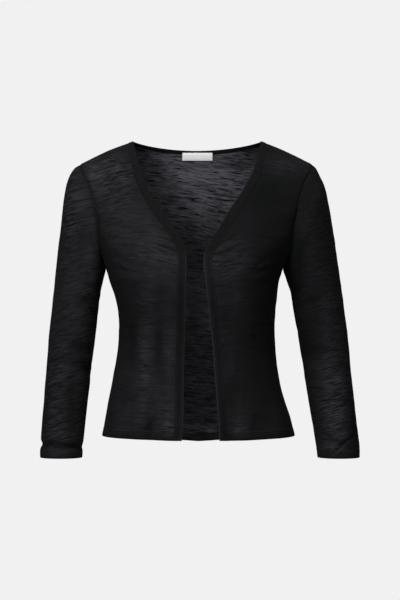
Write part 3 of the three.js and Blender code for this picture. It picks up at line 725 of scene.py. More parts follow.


# %% [markdown]
# Every point of the cloth also gets its place on the flat cloth, before sewing. The knit and its
# slubs are drawn with that, so they run round the body and round the arm, and they stop at a seam
# as they do in a real garment. Worn cloth sags a little in places, and the knit's rows dip with it.
# Two more values go with each point. `sheer_and_light` says how far the jersey is stretched open
# there, with painted light and shade added in, and `slub` says how strongly its thick and thin yarn
# shows.

# %% Places on the flat cloth
LEAN = {"front_right": 0, "front_left": 0, "back": 0.12}  # fall of the rows for each mm to the side
ROW_WANDER, ROW_WANDER_SIZE = 0.7, 34
DIPS = {
    # x, z, wide, tall, drop
    "front_right": [(-28, -180, 30, 52, 14), (-180, -70, 50, 80, 24)],
    "front_left": [(22, -176, 36, 50, 15), (180, -64, 50, 70, 16)],
    "back": [(44, -118, 40, 40, 6), (-58, -96, 34, 40, -5)],
}


def bump_at(x, z, at_x, at_z, wide, tall):
    return bell((x - at_x) / wide) * bell((z - at_z) / tall)


def flat_places(name, grid, start_column):
    """Across and down the flat cloth. The knit's rows lie level, but for their lean and dips."""
    x, z = grid[..., 0], grid[..., 2]
    u = run(grid, 1, (1, 1, 0))
    u = u - u[:, [start_column]] + x[:, [start_column]]
    guide = grid[:, start_column]
    v = np.interp(-z, -guide[:, 2], run(guide, 0, (0, 1, 1)))
    v = v - np.maximum(z - guide[0, 2], 0) - LEAN[name] * u
    for at_x, at_z, wide, tall, drop in DIPS[name]:
        v = v - drop * bump_at(x, z, at_x, at_z, wide, tall)
    return u, v + ROW_WANDER * waves(u, v, ROW_WANDER_SIZE)


# %% [markdown]
# ## From two grids to one piece of cloth
#
# Cloth is thin but not flat: it has two faces and a cut or folded edge. `closed_wall` takes an
# outer and an inner grid and joins them all round, so each piece is a closed body that could be
# printed or weighed. We could give a single sheet the Solidify modifier. Making both faces lets
# the turned-up hem be two layers thick, and lets the walls meet in a mitre at the armhole.

# %% Mesh of a closed wall
SHARP_EDGE = math.radians(55)


def make_object(name, points, faces, places=None, values=None):
    """One piece. Cloth also has places, each corner's place on the flat cloth, and point values."""
    mesh = bpy.data.meshes.new(name)
    mesh.from_pydata((points * MM).tolist(), [], faces)
    mesh.polygons.foreach_set("use_smooth", np.ones(len(mesh.polygons), bool))
    if places is not None:
        layer = mesh.uv_layers.new(name="cloth")
        layer.data.foreach_set("uv", (places * MM).astype(np.float32).ravel())
        mesh.set_sharp_from_angle(angle=SHARP_EDGE)
    for key, value in (values or {}).items():
        attribute = mesh.attributes.new(name=key, type="FLOAT", domain="POINT")
        attribute.data.foreach_set("value", value.astype(np.float32).ravel())
    piece = bpy.data.objects.new(name, mesh)
    bpy.context.scene.collection.objects.link(piece)
    return piece


def quads(a, b, c, d):
    return np.stack((a, b, c, d), axis=-1).reshape(-1, 4)


def wall_faces(outside, inside, around):
    faces = [
        quads(outside[:-1, :-1], outside[1:, :-1], outside[1:, 1:], outside[:-1, 1:]),
        quads(inside[:-1, :-1], inside[:-1, 1:], inside[1:, 1:], inside[1:, :-1]),
        quads(outside[0, :-1], outside[0, 1:], inside[0, 1:], inside[0, :-1]),
        quads(outside[-1, 1:], outside[-1, :-1], inside[-1, :-1], inside[-1, 1:]),
    ]
    if not around:
        faces.append(quads(outside[1:, 0], outside[:-1, 0], inside[:-1, 0], inside[1:, 0]))
        faces.append(quads(outside[:-1, -1], outside[1:, -1], inside[1:, -1], inside[:-1, -1]))
    return np.concatenate(faces)


def closed_wall(name, outer, inner, u, v, values=None, around=False):
    rows, columns = outer.shape[:2]
    points = np.concatenate((outer.reshape(-1, 3), inner.reshape(-1, 3)))
    outside = np.arange(rows * columns).reshape(rows, columns)
    if around:
        outside = np.concatenate((outside, outside[:, :1]), axis=1)
    faces = wall_faces(outside, outside + rows * columns, around)
    flat = np.stack((u, v), axis=-1).reshape(-1, 2)
    place = np.arange(len(flat)).reshape(u.shape)
    places = flat[wall_faces(place, place, around)]
    a, b, c, d = (points[faces[:, i]] for i in range(4))
    volume = (np.sum(np.cross(a, b) * c) + np.sum(np.cross(a, c) * d)) / 6
    if volume < 0:
        faces, places = faces[:, ::-1], places[:, ::-1]
    both_faces = {key: np.tile(value.ravel(), 2) for key, value in (values or {}).items()}
    print(name, "faces:", len(faces), "volume cm3:", round(abs(volume) / 1000, 2))
    return make_object(name, points, faces.tolist(), places, both_faces)


# %% [markdown]
# The hem is the edge of the cloth turned up inside and caught with two rows of stitches. Near its
# edge it rounds over, the doubled cloth stands a little proud, and the stitches pull a shallow
# groove. For each distance above the edge, `hem_shape` gives how far the outer face moves in from
# the plain one, and the wall's thickness. A sewn seam pulls the cloth into a shallow dip too.

# %% Profile of hem and cuff
STITCH_ROWS = (12.3, 9.1)
GROOVE = 0.34
GROOVE_WIDE = 1.0
TURN_PROUD = 0.45
STEP_HALF = 0.6  # half the height over which the doubled cloth thins to one layer
STEP_SOFT = 1.4
SEAM_DIP = 0.5
SEAM_DIP_WIDE = 1.8


def hem_shape(above, turn):
    thick = mix(HEM_THICK, JERSEY_THICK, ease((above - turn + STEP_HALF) / (2 * STEP_HALF)))
    r = HEM_THICK / 2
    round_off = r - np.sqrt(np.maximum(r * r - np.maximum(r - above, 0) ** 2, 0))
    rows = [row + turn - HEM_TURN for row in STITCH_ROWS]
    groove = sum(GROOVE * bell((above - row) / GROOVE_WIDE) for row in rows)
    proud = TURN_PROUD * ease((turn + STEP_HALF - above) / STEP_SOFT)
    return round_off + groove - proud, thick - round_off * 2


def seam_dip(distance):
    return SEAM_DIP * bell(distance / SEAM_DIP_WIDE)


heights_above = np.array([0.2, 6.0, 20.0])
hem_thickness = hem_shape(heights_above, HEM_TURN)[1]
print("wall", hem_thickness.round(2), "mm thick at", heights_above, "mm above the hem's edge")

# %% [markdown]
# How open the jersey is depends on where it stretches. Across the shoulder blades and under the
# back neck it is one layer pulled tight, so it looks paler and every slub shows. Over the bust and
# down the fronts it lies close and dark, and where it is doubled, in a hem or a cuff, it is
# darkest. The same values carry painted light and shade too. The pieces on the wearer's right,
# which face the key light, start paler. The pale patches at the top of the back's inner face also
# paint the light that falls in through the neck. Darker patches paint shade, as at the waist's side
# under the right arm and on the inner side of the left sleeve. Each line of the table is a soft
# patch: its middle and size, and what it adds to `sheer_and_light` and to `slub`.

# %% Where the cloth is stretched, with painted light and shade
# the pieces on the wearer's right face the key light and start paler: painted light
BASE = {
    # sheer with painted light, slub
    "front_right": (0.078, 0.38),
    "front_left": (0.061, 0.25),
    "back": (0.116, 0.9),
    "sleeve_right": (0.082, 0.8),
    "sleeve_left": (0.065, 0.6),
}
STRETCH_AND_LIGHT = {
    "front_right": [
        # x, z, wide, tall, sheer with painted light and shade, slub
        (-166, -54, 14, 24, 0.09, -0.2), (-132, -34, 46, 30, 0.025, 1.1),
        (-132, -76, 30, 36, 0.007, 0.5), (-90, -160, 42, 40, 0.007, 0.15),
        (-34, -164, 26, 32, 0.014, 0.5), (-80, -210, 60, 20, 0.0, -0.15),
        (-80, -330, 13, 100, 0.02, 0.25), (-120, -270, 17, 46, -0.035, -0.2),
        (-42, -440, 10, 14, 0.034, 0.4), (-77, -446, 6, 18, -0.045, 0.0),
        (-156, -98, 15, 38, -0.022, 0.0), (-64, -330, 9, 80, 0.014, 0.0),
        (-122, -2, 34, 14, -0.05, 0.3),
    ],
    "front_left": [
        (150, -28, 50, 14, 0.03, 0.5), (128, -62, 62, 34, -0.03, 0.2),
        (152, -170, 18, 50, 0.045, 0.0), (26, -170, 28, 32, 0.027, 0.7),
        (68, -174, 42, 26, 0.0, 0.6), (30, -330, 18, 110, 0.014, 0.2),
        (60, -440, 17, 13, 0.041, 0.5), (98, -446, 17, 9, 0.02, 0.4),
        (122, -210, 36, 90, -0.014, -0.1), (96, -104, 66, 74, -0.046, 0.2),
        (68, -378, 32, 66, -0.032, 0.0), (118, -4, 30, 14, -0.03, 0.3),
    ],
    "back": [
        (-10, -45, 104, 60, 0.66, -0.2), (-6, -14, 66, 26, 0.2, 0.0),
        (-20, -78, 30, 13, 0.16, 0.0), (6, -37, 56, 9, -0.15, 0.1), (54, -12, 24, 9, 0.24, -0.2),
        (-98, -10, 22, 24, 0.3, 0.0), (14, -415, 60, 46, 0.05, 0.0), (30, -418, 15, 40, 0.05, 0.0),
        (6, -400, 40, 60, 0.02, 0.0), (8, -468, 60, 6, 0.05, 0.0), (8, -240, 60, 76, 0.0, -0.35),
        (10, -40, 12, 60, 0.109, -0.2), (-52, -24, 24, 50, 0.08, 0.0),
        (16, -452, 40, 6, 0.26, 0.3), (-8, -255, 12, 44, -0.05, 0.0),
        (20, -300, 10, 100, 0.05, 0.0), (2, -400, 20, 50, 0.03, 0.0),
    ],
    "sleeve_right": [
        (-204, -100, 16, 60, 0.034, 0.4), (-184, -64, 18, 24, -0.02, 0.0),
        (-162, -188, 15, 50, 0.13, 0.0), (-226, -410, 16, 70, 0.014, 0.3),
        (-200, -400, 9, 60, -0.06, 0.0), (-214, -270, 16, 60, -0.018, 0.0),
        (-216, -472, 60, 5, -0.03, 0.0), (-216, -481, 60, 2.5, 0.02, 0.0),
        (-246, -430, 11, 64, -0.05, 0.0), (-180, -138, 13, 34, -0.04, 0.0),
        (-170, -150, 22, 46, 0.0, -0.6), (-206, -232, 40, 46, 0.0, -0.35),
        (-196, -300, 16, 42, -0.02, 0.0),
    ],
    "sleeve_left": [
        (196, -120, 60, 100, -0.031, 0.2), (216, -405, 20, 74, 0.088, 0.4),
        (222, -476, 26, 9, 0.03, 0.0), (172, -80, 20, 46, -0.03, 0.0),
        (190, -240, 16, 90, -0.018, 0.0), (184, -290, 14, 50, -0.035, 0.0),
        (158, -170, 14, 44, -0.045, 0.0), (154, -232, 12, 50, -0.045, 0.8),
        (166, -320, 13, 70, -0.055, 0.8), (186, -435, 12, 44, -0.035, 0.0),
        (250, -430, 12, 50, -0.06, 0.0),
    ],
}
print("soft patches:", {name: len(patches) for name, patches in STRETCH_AND_LIGHT.items()})

# %% [markdown]
# The cloth is darkened where the body and the arm turn to the side: painted shade. It is lighter
# over the ridge of each fold and darker in the hollow beside it: painted highlight and painted
# shade. The very edge of a hem or cuff, where the cloth rounds under, is darkened: painted shade.
# Behind a seam lie the raw edges of both pieces, so the cloth looks closer there too, and along the
# seam's dip it is darkened further: painted shade.

# %% How open each point is, and where shade and highlight are painted
DOUBLED_SHEER = 0.62
DOUBLED_SLUB = 0.6
TURN_SOFT = 1.2
# painted shade along the very edge of a hem or cuff, where the cloth rounds under
FOLD_DARK, FOLD_DARK_WIDE = 0.9, 3.0
# painted shade where the cloth turns to the side
SIDE_SHADE = 0.38
SIDE_POWER = 1.5  # above 1, so that the painted shade starts early as the cloth turns to the side
# painted shade in the hollow of a fold or crease, painted highlight on its ridge
HOLLOW_DARK = 0.36
HOLLOW_LIMITS = (0.3, 1.6)
SEAM_DARK, SEAM_DARK_WIDE = 0.45, 6.5
# painted shade in the dip along a seam
SEAM_DIP_SHADE = 0.45


def openness_and_shade(name, x, z, facing, hollow, from_seam, above, turn):
    """How open the cloth is at each point, with painted light and shade, and how strongly its slubs
    show.
    """
    sheer_and_light, slub = (np.full(x.shape, value) for value in BASE[name])
    # the patches add openness and also painted light and shade
    for at_x, at_z, wide, tall, more_sheer_and_light, more_slub in STRETCH_AND_LIGHT[name]:
        patch = bump_at(x, z, at_x, at_z, wide, tall)
        sheer_and_light, slub = sheer_and_light + more_sheer_and_light * patch, slub + more_slub * patch
    doubled = ease((turn - above) / TURN_SOFT)
    slub = slub * mix(1, DOUBLED_SLUB, doubled)
    # painted shade at the rounded edge of the hem or cuff
    at_fold = FOLD_DARK * bell(above / FOLD_DARK_WIDE)
    sheer_and_light = sheer_and_light * mix(1, DOUBLED_SHEER, doubled) * (1 - at_fold)
    # painted shade where the cloth turns to the side
    sheer_and_light = sheer_and_light * mix(SIDE_SHADE, 1, np.abs(facing) ** SIDE_POWER)
    # painted shade in hollows, painted highlight on ridges
    sheer_and_light = sheer_and_light * np.clip(1 - hollow * HOLLOW_DARK, *HOLLOW_LIMITS)
    raw_edges = SEAM_DARK * bell(from_seam / SEAM_DARK_WIDE)
    # painted shade in the seam's dip, on top of the raw edges' darkening
    dip_shade = SEAM_DIP_SHADE * bell(from_seam / SEAM_DIP_WIDE)
    return {"sheer_and_light": sheer_and_light * (1 - (raw_edges + dip_shade)), "slub": slub}


# %% [markdown]
# A grid is now moved to the cloth's outer face, and its inner face is laid a thickness away. For
# the last few millimetres before the armhole the way in is turned to the mitre.

# %% Both faces of the wall
def thicken(grid, normal, sunk, inward, above, turn):
    moved, thick = hem_shape(above, turn)
    outer = grid - normal * (sunk + moved[:, None])[..., None]
    return outer, outer + inward * thick[:, None, None]


def turn_to_mitre(inward, gap, mitre):
    """The way in through the wall, turned to the mitre where the gap to the armhole is small."""
    hold = np.clip(1 - gap / MITRE_REACH, 0, 1)[..., None] ** 2
    return inward + hold * (mitre - inward)


# %% [markdown]
# Now a panel can be made. It is eased inwards by its folds, but not close to a seam, where the
# sewing holds it, and each seam lies in its dip. Beside the slanting part of a front's band the
# cloth is made darker, fading out some fifteen millimetres from the band. Behind the neck band
# there are no raw edges, so only the part of the back's top edge beyond it counts as a seam.

# %% Panels of jersey
PANEL_HOLLOWS = ((0.32, 34), (0.13, 13))  # depth and size
FREE_AT = 14  # the distance from a seam at which the cloth folds freely
# flutes count as hollows and ridges too: painted shade in their valleys, painted highlight on their
# ridges
FLUTE_DARK = 0.3
SHOULDER_X, SHOULDER_FADE = 96, 8  # where the shoulder seam begins beside the neck band
SHOULDER_SOFT = 2.0  # the shoulder seam darkens the cloth twice as far as the others
FAR = 30.0  # too far from a seam to be darkened by it
# darkens the cloth beside the slanting part of a front's band
BAND_DARK, BAND_DARK_WIDE = 0.42, 15.0
CORNER_Z, CORNER_SOFT = -185, 30  # where the neckline turns down into the front edges


def from_sewing(name, x, from_top, from_left, from_right):
    """Distance from the sewn edges that darken the cloth: shoulder, armhole and side seam."""
    beyond_neck = ease((np.abs(x) - SHOULDER_X) / SHOULDER_FADE)
    from_shoulder = from_top / SHOULDER_SOFT + FAR * (1 - beyond_neck)
    nearest = np.minimum(from_shoulder, from_right)
    return np.minimum(nearest, from_left) if name == "back" else nearest


def panel(name, face, mitres, start_column):
    """Folds, thickens and closes one panel. mitres holds (column, inward) for each armhole edge."""
    grid = grids[name]
    u, v = flat_places(name, grid, start_column)
    x, z = grid[..., 0], grid[..., 2]
    across, from_top = run(grid, 1), run(grid, 0)
    from_left, from_right = across, across[:, -1:] - across
    near_seam = np.minimum(np.minimum(from_left, from_right), from_top)
    free = ease(near_seam / FREE_AT)
    normal = outward(face, grid)
    uneven = roughness(u, v, PANEL_HOLLOWS)
    folds = free * fold_depth(FOLDS[name], x, z)
    inward = -normal
    for column_at, lines in mitres:
        gap = np.abs(across - across[:, [column_at]])
        gap[ARM_ROWS + 1 :] = MITRE_REACH
        full = np.zeros((ROWS, 1, 3))
        full[: ARM_ROWS + 1, 0] = lines
        inward = turn_to_mitre(inward, gap, full)
    sunk = folds + free * uneven + seam_dip(near_seam)
    outer, inner = thicken(grid, normal, sunk, inward, above_hem, HEM_TURN)
    # folds and flutes give painted shade in their hollows and painted highlight on their ridges
    hollow = folds - FLUTE_DARK * flutes(face, x, z)
    sewn = from_sewing(name, x, from_top, from_left, from_right)
    values = openness_and_shade(name, x, z, normal[..., 1], hollow, sewn, above_hem[:, None], HEM_TURN)
    if face == FRONT:
        beside_band = bell(from_left / BAND_DARK_WIDE) * ease((z - CORNER_Z) / CORNER_SOFT)
        values["sheer_and_light"] = values["sheer_and_light"] * (1 - BAND_DARK * beside_band)
    return closed_wall("jersey_" + name, outer, inner, u, v, values), outer, normal


# %% [markdown]
# A front has one armhole, at its last column, and the back one at each end. The flat cloth is
# measured from the band on a front and from the middle of the back.

# %% Make the panels
def front_mitre(side):
    return [(-1, seams[side]["inward"][: ARM_ROWS + 1])]


back_steps = (AROUND - np.arange(ARM_ROWS + 1)) % AROUND
back_mitres = [(0, seams[RIGHT]["inward"][back_steps]), (-1, seams[LEFT]["inward"][back_steps])]
cloth = {
    "front_right": panel("front_right", FRONT, front_mitre(RIGHT), 0),
    "front_left": panel("front_left", FRONT, front_mitre(LEFT), 0),
    "back": panel("back", BACK, back_mitres, grids["back"].shape[1] // 2),
}

# %% [markdown]
# A sleeve is thickened in the same way, but it closes on itself. Its grid is turned so that it
# starts at the underarm, because that is where the real tube is sewn together. A jersey sleeve
# twists a little as it is worn, so the knit's rows don't lie square to the arm: on both arms they
# rise by some fifteen degrees towards the wearer's left.

# %% Sleeves of jersey
ROWS_RISE = math.radians(15)
SLEEVE_HOLLOWS = ((0.3, 30), (0.12, 12))
GAP_FADE = 4  # how soon the seam's gap fades down the sleeve


def sleeve(name, side):
    order = (np.arange(AROUND) + ARM_ROWS) % AROUND
    seam = seams[side]
    from_armhole = run(rings[side], 0)
    grid = rings[side] + seam["across"] * (SEAM * bell(from_armhole / GAP_FADE))[..., None]
    normal = grid_normals(grid, around=True, flip=side)[:, order]
    grid, from_armhole = grid[:, order], from_armhole[:, order]
    closed = np.concatenate((grid, grid[:, :1]), axis=1)
    travelled = run(closed, 1)
    round_arm = travelled[np.maximum(np.arange(len(grid)), CAP_RINGS), -1:]
    u_closed = round_arm * (np.arange(AROUND + 1) / AROUND - 0.5)
    v_closed = closed[..., 0] * math.sin(ROWS_RISE) - closed[..., 2] * math.cos(ROWS_RISE)
    u, v = u_closed[:, :-1], v_closed[:, :-1]
    from_underarm = np.minimum(travelled, travelled[:, -1:] - travelled)[:, :-1]
    near_seam = np.minimum(from_armhole, from_underarm)
    sunk = ease(near_seam / FREE_AT) * roughness(u, v, SLEEVE_HOLLOWS) + seam_dip(near_seam)
    inward = turn_to_mitre(-normal, from_armhole, seam["inward"][order])
    outer, inner = thicken(grid, normal, sunk, inward, above_cuff, CUFF_TURN)
    x, z, facing = grid[..., 0], grid[..., 2], normal[..., 1]
    # the creases give painted shade in their hollows
    hollow = crease_depth(side, FULL_TURN * order / AROUND, z)
    values = openness_and_shade(name, x, z, facing, hollow, near_seam, above_cuff[:, None], CUFF_TURN)
    piece = closed_wall("jersey_" + name, outer, inner, u_closed, v_closed, values, around=True)
    return piece, outer, normal


sleeves = {
    "sleeve_right": sleeve("sleeve_right", RIGHT),
    "sleeve_left": sleeve("sleeve_left", LEFT),
}

# %% [markdown]
# ## Bands
#
# The band is a strip folded lengthwise round the raw edge, so its section is a U lying on its
# side: a leg on the outer face, a small round fold at the very edge, and a leg on the inner face.
# The outer leg laps a little over the panel, which hides the raw edge. Each section is drawn as
# pairs of "in from the edge" and "up from the cloth", then laid along the edge line.

# %% Folded bands
BAND_CLOTH = 0.6
BAND_PROUD = 0.45
BAND_PLUMP = 0.12
BAND_LAP = 1.3
FOLD_RADIUS = 0.8
LEG_STEPS = 9
FOLD_STEPS = 9


def lay(face, line, inset, up):
    """Points at a distance in from the edge, measured along the cloth, and up from its face."""
    share = (inset / line["width"][:, None])[..., None]
    p = mix(line["edge"][:, None], line["seam"][:, None], share)
    on_seam = np.abs(p[..., 1] - MID_Y) < SEAM
    p = settle(face, p)
    p[..., 1] = np.where(on_seam, MID_Y + face * SEAM / 2, p[..., 1])
    return p + outward(face, p) * up[..., None]


def band_grid(face, line, in_by):
    """The folded strip's surface, or the one a thickness inside it, and each point's inset."""
    share = np.linspace(1, 0, LEG_STEPS)[:-1]
    room = line["width"][:, None] - FOLD_RADIUS
    over = FOLD_RADIUS + (room + BAND_LAP) * share
    under = FOLD_RADIUS + (room - SEAM) * share[::-1]
    angle = np.linspace(QUARTER, -QUARTER, FOLD_STEPS)
    radius = FOLD_RADIUS - in_by
    fold = np.broadcast_to(FOLD_RADIUS - radius * np.cos(angle), (len(over), FOLD_STEPS))
    inset = np.concatenate((over, fold, under), axis=1)
    plump = BAND_PLUMP * np.sin(math.pi * share)
    middle = BAND_PROUD - FOLD_RADIUS
    over_up = middle + radius + plump
    under_up = middle - radius - plump[::-1]
    up = np.concatenate((over_up, middle + radius * np.sin(angle), under_up))
    return lay(face, line, inset, np.broadcast_to(up, inset.shape)), inset


# %% [markdown]
# Below the neckline a fine paler line runs down the edge: a painted highlight where the rounded
# fold catches the light. The rest of the band there is made a little paler too, by an amount given
# for each band that changes towards the hem. `pale` says how much at each point. The strip's own
# raw edge ends inside the band and shows as a darker line.

# %% Make the bands
EDGE_HIGHLIGHT_AND_PALE = {
    # painted highlight at the edge, paleness over the band below the corner, over the band at the
    # hem
    "band_front_right": (0.6, 0.14, 0.16),
    "band_front_left": (0.8, 0.2, 0.06),
    "band_neck_back": (1.0, 0, 0),
}
LOW_Z, LOW_SOFT = -360, 70
NECK_PALE = 0.05  # how much of the paleness is left above the corner
EDGE_PALE_WIDE = 1.1
RAW_DARK, RAW_AT, RAW_WIDE = 0.8, 4, 2


def band(name, face, line):
    (outer, inset), (inner, _) = band_grid(face, line, 0), band_grid(face, line, BAND_CLOTH)
    u, v = run(outer, 1), run(outer, 0)[:, :1] + np.zeros(outer.shape[:2])
    z = outer[..., 2]
    at_edge, below, low = EDGE_HIGHLIGHT_AND_PALE[name]
    raw_edge = bell((inset - line["width"][:, None] + RAW_AT) / RAW_WIDE)
    band_pale = mix(below, low, ease((LOW_Z - z) / LOW_SOFT)) * (1 - RAW_DARK * raw_edge)
    # the painted highlight along the fold's edge, added to the band's paler tone
    pale = at_edge * bell(inset / EDGE_PALE_WIDE) + band_pale
    pale = pale * mix(1, NECK_PALE, ease((z - CORNER_Z) / CORNER_SOFT))
    return closed_wall(name, outer, inner, u, v, {"pale": pale})


def join_lines(first, second):
    return {key: np.concatenate((first[key][:0:-1], second[key])) for key in first}


neck_line_whole = join_lines(neck_lines[RIGHT], neck_lines[LEFT])
bands = {
    "front_band_right": band("band_front_right", FRONT, front_lines[RIGHT]),
    "front_band_left": band("band_front_left", FRONT, front_lines[LEFT]),
    "neck_band_back": band("band_neck_back", BACK, neck_line_whole),
}

# %% [markdown]
# ## Stitches
#
# A twin needle leaves two rows of short stitches round the hem and cuffs. Each stitch is a little
# bead of thread, pulled down into the cloth at both ends. One bead is drawn here.

# %% Beads of thread
BEAD_SIDES = 6
BEAD_STATIONS = np.array([-1, -0.82, -0.35, 0.35, 0.82, 1])
BEAD_GIRTH = np.array([0, 0.7, 1, 1, 0.7, 0])


def bead(length, radius):
    """One stitch along X with Z up: its points and its faces."""
    points, faces = [], []
    for station, girth in zip(BEAD_STATIONS, BEAD_GIRTH):
        for i in range(BEAD_SIDES if girth else 1):
            turn = 2 * math.pi * i / BEAD_SIDES
            dip = -radius * station**2
            y, z = radius * girth * math.cos(turn), radius * girth * math.sin(turn) + dip
            points.append((station * length / 2, y, z))
    last = len(points) - 1
    for i in range(BEAD_SIDES):
        j = (i + 1) % BEAD_SIDES
        faces.append((0, 1 + j, 1 + i))
        for k in range(len(BEAD_STATIONS) - 3):
            a, b = 1 + k * BEAD_SIDES, 1 + (k + 1) * BEAD_SIDES
            faces.append((a + i, a + j, b + j, b + i))
        faces.append((last, last - BEAD_SIDES + i, last - BEAD_SIDES + j))
    return np.array(points), faces


# %% [markdown]
# The bead is copied at even steps along a line, turned the way the line runs and standing on the
# cloth. Joining all the copies of a row into one mesh keeps the scene light.

# %% Beads along a line
def places_along(line, normals, pitch, closed=False):
    """Evenly spaced places on a line of points, with the way along and the way out at each."""
    if closed:
        line, normals = np.concatenate((line, line[:1])), np.concatenate((normals, normals[:1]))
    travelled = run(line, 0)
    count = max(int(travelled[-1] / pitch), 1)
    at = (np.arange(count) + 0.5) * travelled[-1] / count

    def read(values):
        return np.stack([np.interp(at, travelled, values[:, i]) for i in range(3)], axis=-1)

    along = unit(np.gradient(read(line), axis=0)) if count > 1 else unit(line[-1:] - line[:1])
    out = unit(read(normals))
    return read(line), along, unit(out - along * dot(out, along))


def stitches(name, runs, length, radius):
    """All the stitches of several runs of places, as one mesh."""
    shape, shape_faces = bead(length, radius)
    points, faces = [], []
    for at, along, out in runs:
        aside = np.cross(out, along)
        for i in range(len(at)):
            start = len(points) * len(shape)
            points.append(at[i] + shape @ np.stack((along[i], aside[i], out[i])))
            faces.extend([tuple(start + k for k in face) for face in shape_faces])
    points = np.concatenate(points)
    print(name, "stitches:", len(points) // len(shape))
    return make_object(name, points, faces)


# %% [markdown]
# The hem's rows of stitches are found on the folded cloth itself: between the two grid rows that
# lie just above and just below the wanted height. So the beads follow every flute.

# %% Rows of stitches on hem and cuffs
STITCH_PITCH = 3.1
STITCH_LONG = 2.5
THREAD_RADIUS = 0.24
THREAD_SINKS = 0.05


def level_line(grid, above, height):
    """The line across a grid at one height above its hem."""
    i = int(np.searchsorted(-above, -height)) - 1
    share = (above[i] - height) / (above[i] - above[i + 1])
    return mix(grid[i], grid[i + 1], share)


def stitch_rows(outer, normal, above, turn, closed=False):
    runs = []
    for row in STITCH_ROWS:
        height = turn - HEM_TURN + row
        out = unit(level_line(normal, above, height))
        line = level_line(outer, above, height) - out * THREAD_SINKS
        runs.append(places_along(line, out, STITCH_PITCH, closed))
    return runs


thread = {}
for name, (_, outer, normal) in cloth.items():
    runs = stitch_rows(outer, normal, above_hem, HEM_TURN)
    thread[name] = stitches("stitches_hem_" + name, runs, STITCH_LONG, THREAD_RADIUS)
for name, (_, outer, normal) in sleeves.items():
    runs = stitch_rows(outer, normal, above_cuff, CUFF_TURN, closed=True)
    thread[name] = stitches("stitches_" + name, runs, STITCH_LONG, THREAD_RADIUS)

# %% [markdown]
# ## Seam allowances
#
# Inside the garment each seam has a narrow overlocked edge: both raw edges trimmed together and
# wrapped in thread. It is what one sees on looking in at the neck or up from the hem. It is drawn
# as a flattened cord that follows the seam just under the cloth, with a ripple for the thread.

# %% Overlocked seams
LOCK_WIDE = 4.2
LOCK_THICK = 1.3
LOCK_UNDER = 1.75
LOCK_SIDES = 10
LOCK_STEP = 1.5
LOCK_RIPPLE = 0.12
SHOULDER_SHARE = np.linspace(0.02, 0.97, 60)  # the part of the shoulder between band and armhole


def overlock(name, lines):
    """Flattened cords along seams. Each line holds its points, the ways out and if it is closed."""
    turn = 2 * math.pi * np.arange(LOCK_SIDES) / LOCK_SIDES
    wide = (np.cos(turn) * LOCK_WIDE / 2)[None, :, None]
    tall = (np.sin(turn) * LOCK_THICK / 2)[None, :, None]
    points, faces = [], []
    for line, out, closed in lines:
        at, along, out = places_along(line, out, LOCK_STEP, closed)
        aside = np.cross(along, out)
        size = 1 + LOCK_RIPPLE * (np.arange(len(at)) % 2)[:, None, None]
        middle = (at - out * LOCK_UNDER)[:, None]
        ring = middle + (aside[:, None] * wide + out[:, None] * tall) * size
        place = sum(map(len, points)) + np.arange(len(at) * LOCK_SIDES).reshape(-1, LOCK_SIDES)
        place = np.concatenate((place, place[:, :1]), axis=1)
        if closed:
            place = np.concatenate((place, place[:1]))
        faces.extend(quads(place[:-1, :-1], place[1:, :-1], place[1:, 1:], place[:-1, 1:]).tolist())
        if not closed:
            faces.extend((place[0, :-1].tolist(), place[-1, -2::-1].tolist()))
        points.append(ring.reshape(-1, 3))
    print(name, "faces:", len(faces))
    return make_object(name, np.concatenate(points), faces)


def shoulder_seam(side):
    neck_x = grids["front_left" if side == LEFT else "front_right"][0, 0, 0]
    x = mix(neck_x, seams[side]["at"][0, 0], SHOULDER_SHARE)
    line = shoulder_points(0, x)
    return line, outward(BACK, line), False


def side_seam(side):
    z = SIDE_HEIGHTS[ARM_ROWS + 2 : -HEM_ROWS]
    line = xyz(sway_at(z) + side * half_at(z), MID_Y, z)
    return line, outward(BACK, line), False


def armhole_seam(side):
    return seams[side]["at"], seams[side]["mitre"], True


seam_makers = (shoulder_seam, side_seam, armhole_seam)
seam_lines = [make(side) for side in (RIGHT, LEFT) for make in seam_makers]
overlocked = overlock("overlocked_seams", seam_lines)

# %% [markdown]
# ## Label
#
# A small woven label is sewn inside the back neck with a fine stitch along its four sides. It is
# left bare here. It is drawn as a soft strip that follows the neck's curve, a little pillowed,
# with a furrow where it is stitched down.

# %% A bare woven label
LABEL_X, LABEL_TOP = -0.2, -2.9
LABEL_WIDE, LABEL_TALL = 49.0, 12.1
LABEL_UNDER = 2.0
LABEL_THICK = 0.5
LABEL_COLUMNS, LABEL_ROWS = 104, 28
LABEL_PILLOW, PILLOW_SOFT = 0.35, 2.6
LABEL_INSET, FURROW_WIDE, FURROW_DEEP = 1.2, 0.35, 0.5


def label_point(across, down, under):
    """A point of the label: across from -1 to 1, down from 0 to 1, and how deep under the cloth."""
    x = LABEL_X + across * LABEL_WIDE / 2
    z = LABEL_TOP - down * LABEL_TALL
    p = body_point(BACK, x, z)
    return p - outward(BACK, p) * (LABEL_UNDER + under)[..., None]


across, down = np.linspace(-1, 1, LABEL_COLUMNS + 1), np.linspace(0, 1, LABEL_ROWS + 1)
across, down = np.meshgrid(across, down)
gap_x, gap_z = LABEL_WIDE / 2 * (1 - np.abs(across)), LABEL_TALL * np.minimum(down, 1 - down)
edge_gap = np.minimum(gap_x, gap_z)
furrow = FURROW_DEEP * bell((edge_gap - LABEL_INSET) / FURROW_WIDE)
pillow = LABEL_PILLOW * (ease(edge_gap / PILLOW_SOFT) - furrow)
near_side = label_point(across, down, pillow + LABEL_THICK)
far_side = label_point(across, down, pillow)
label = closed_wall("label_woven", near_side, far_side, across * LABEL_WIDE / 2, down * LABEL_TALL)


# %% [markdown]
# The label's stitches run a little way in from each side, in the furrow.

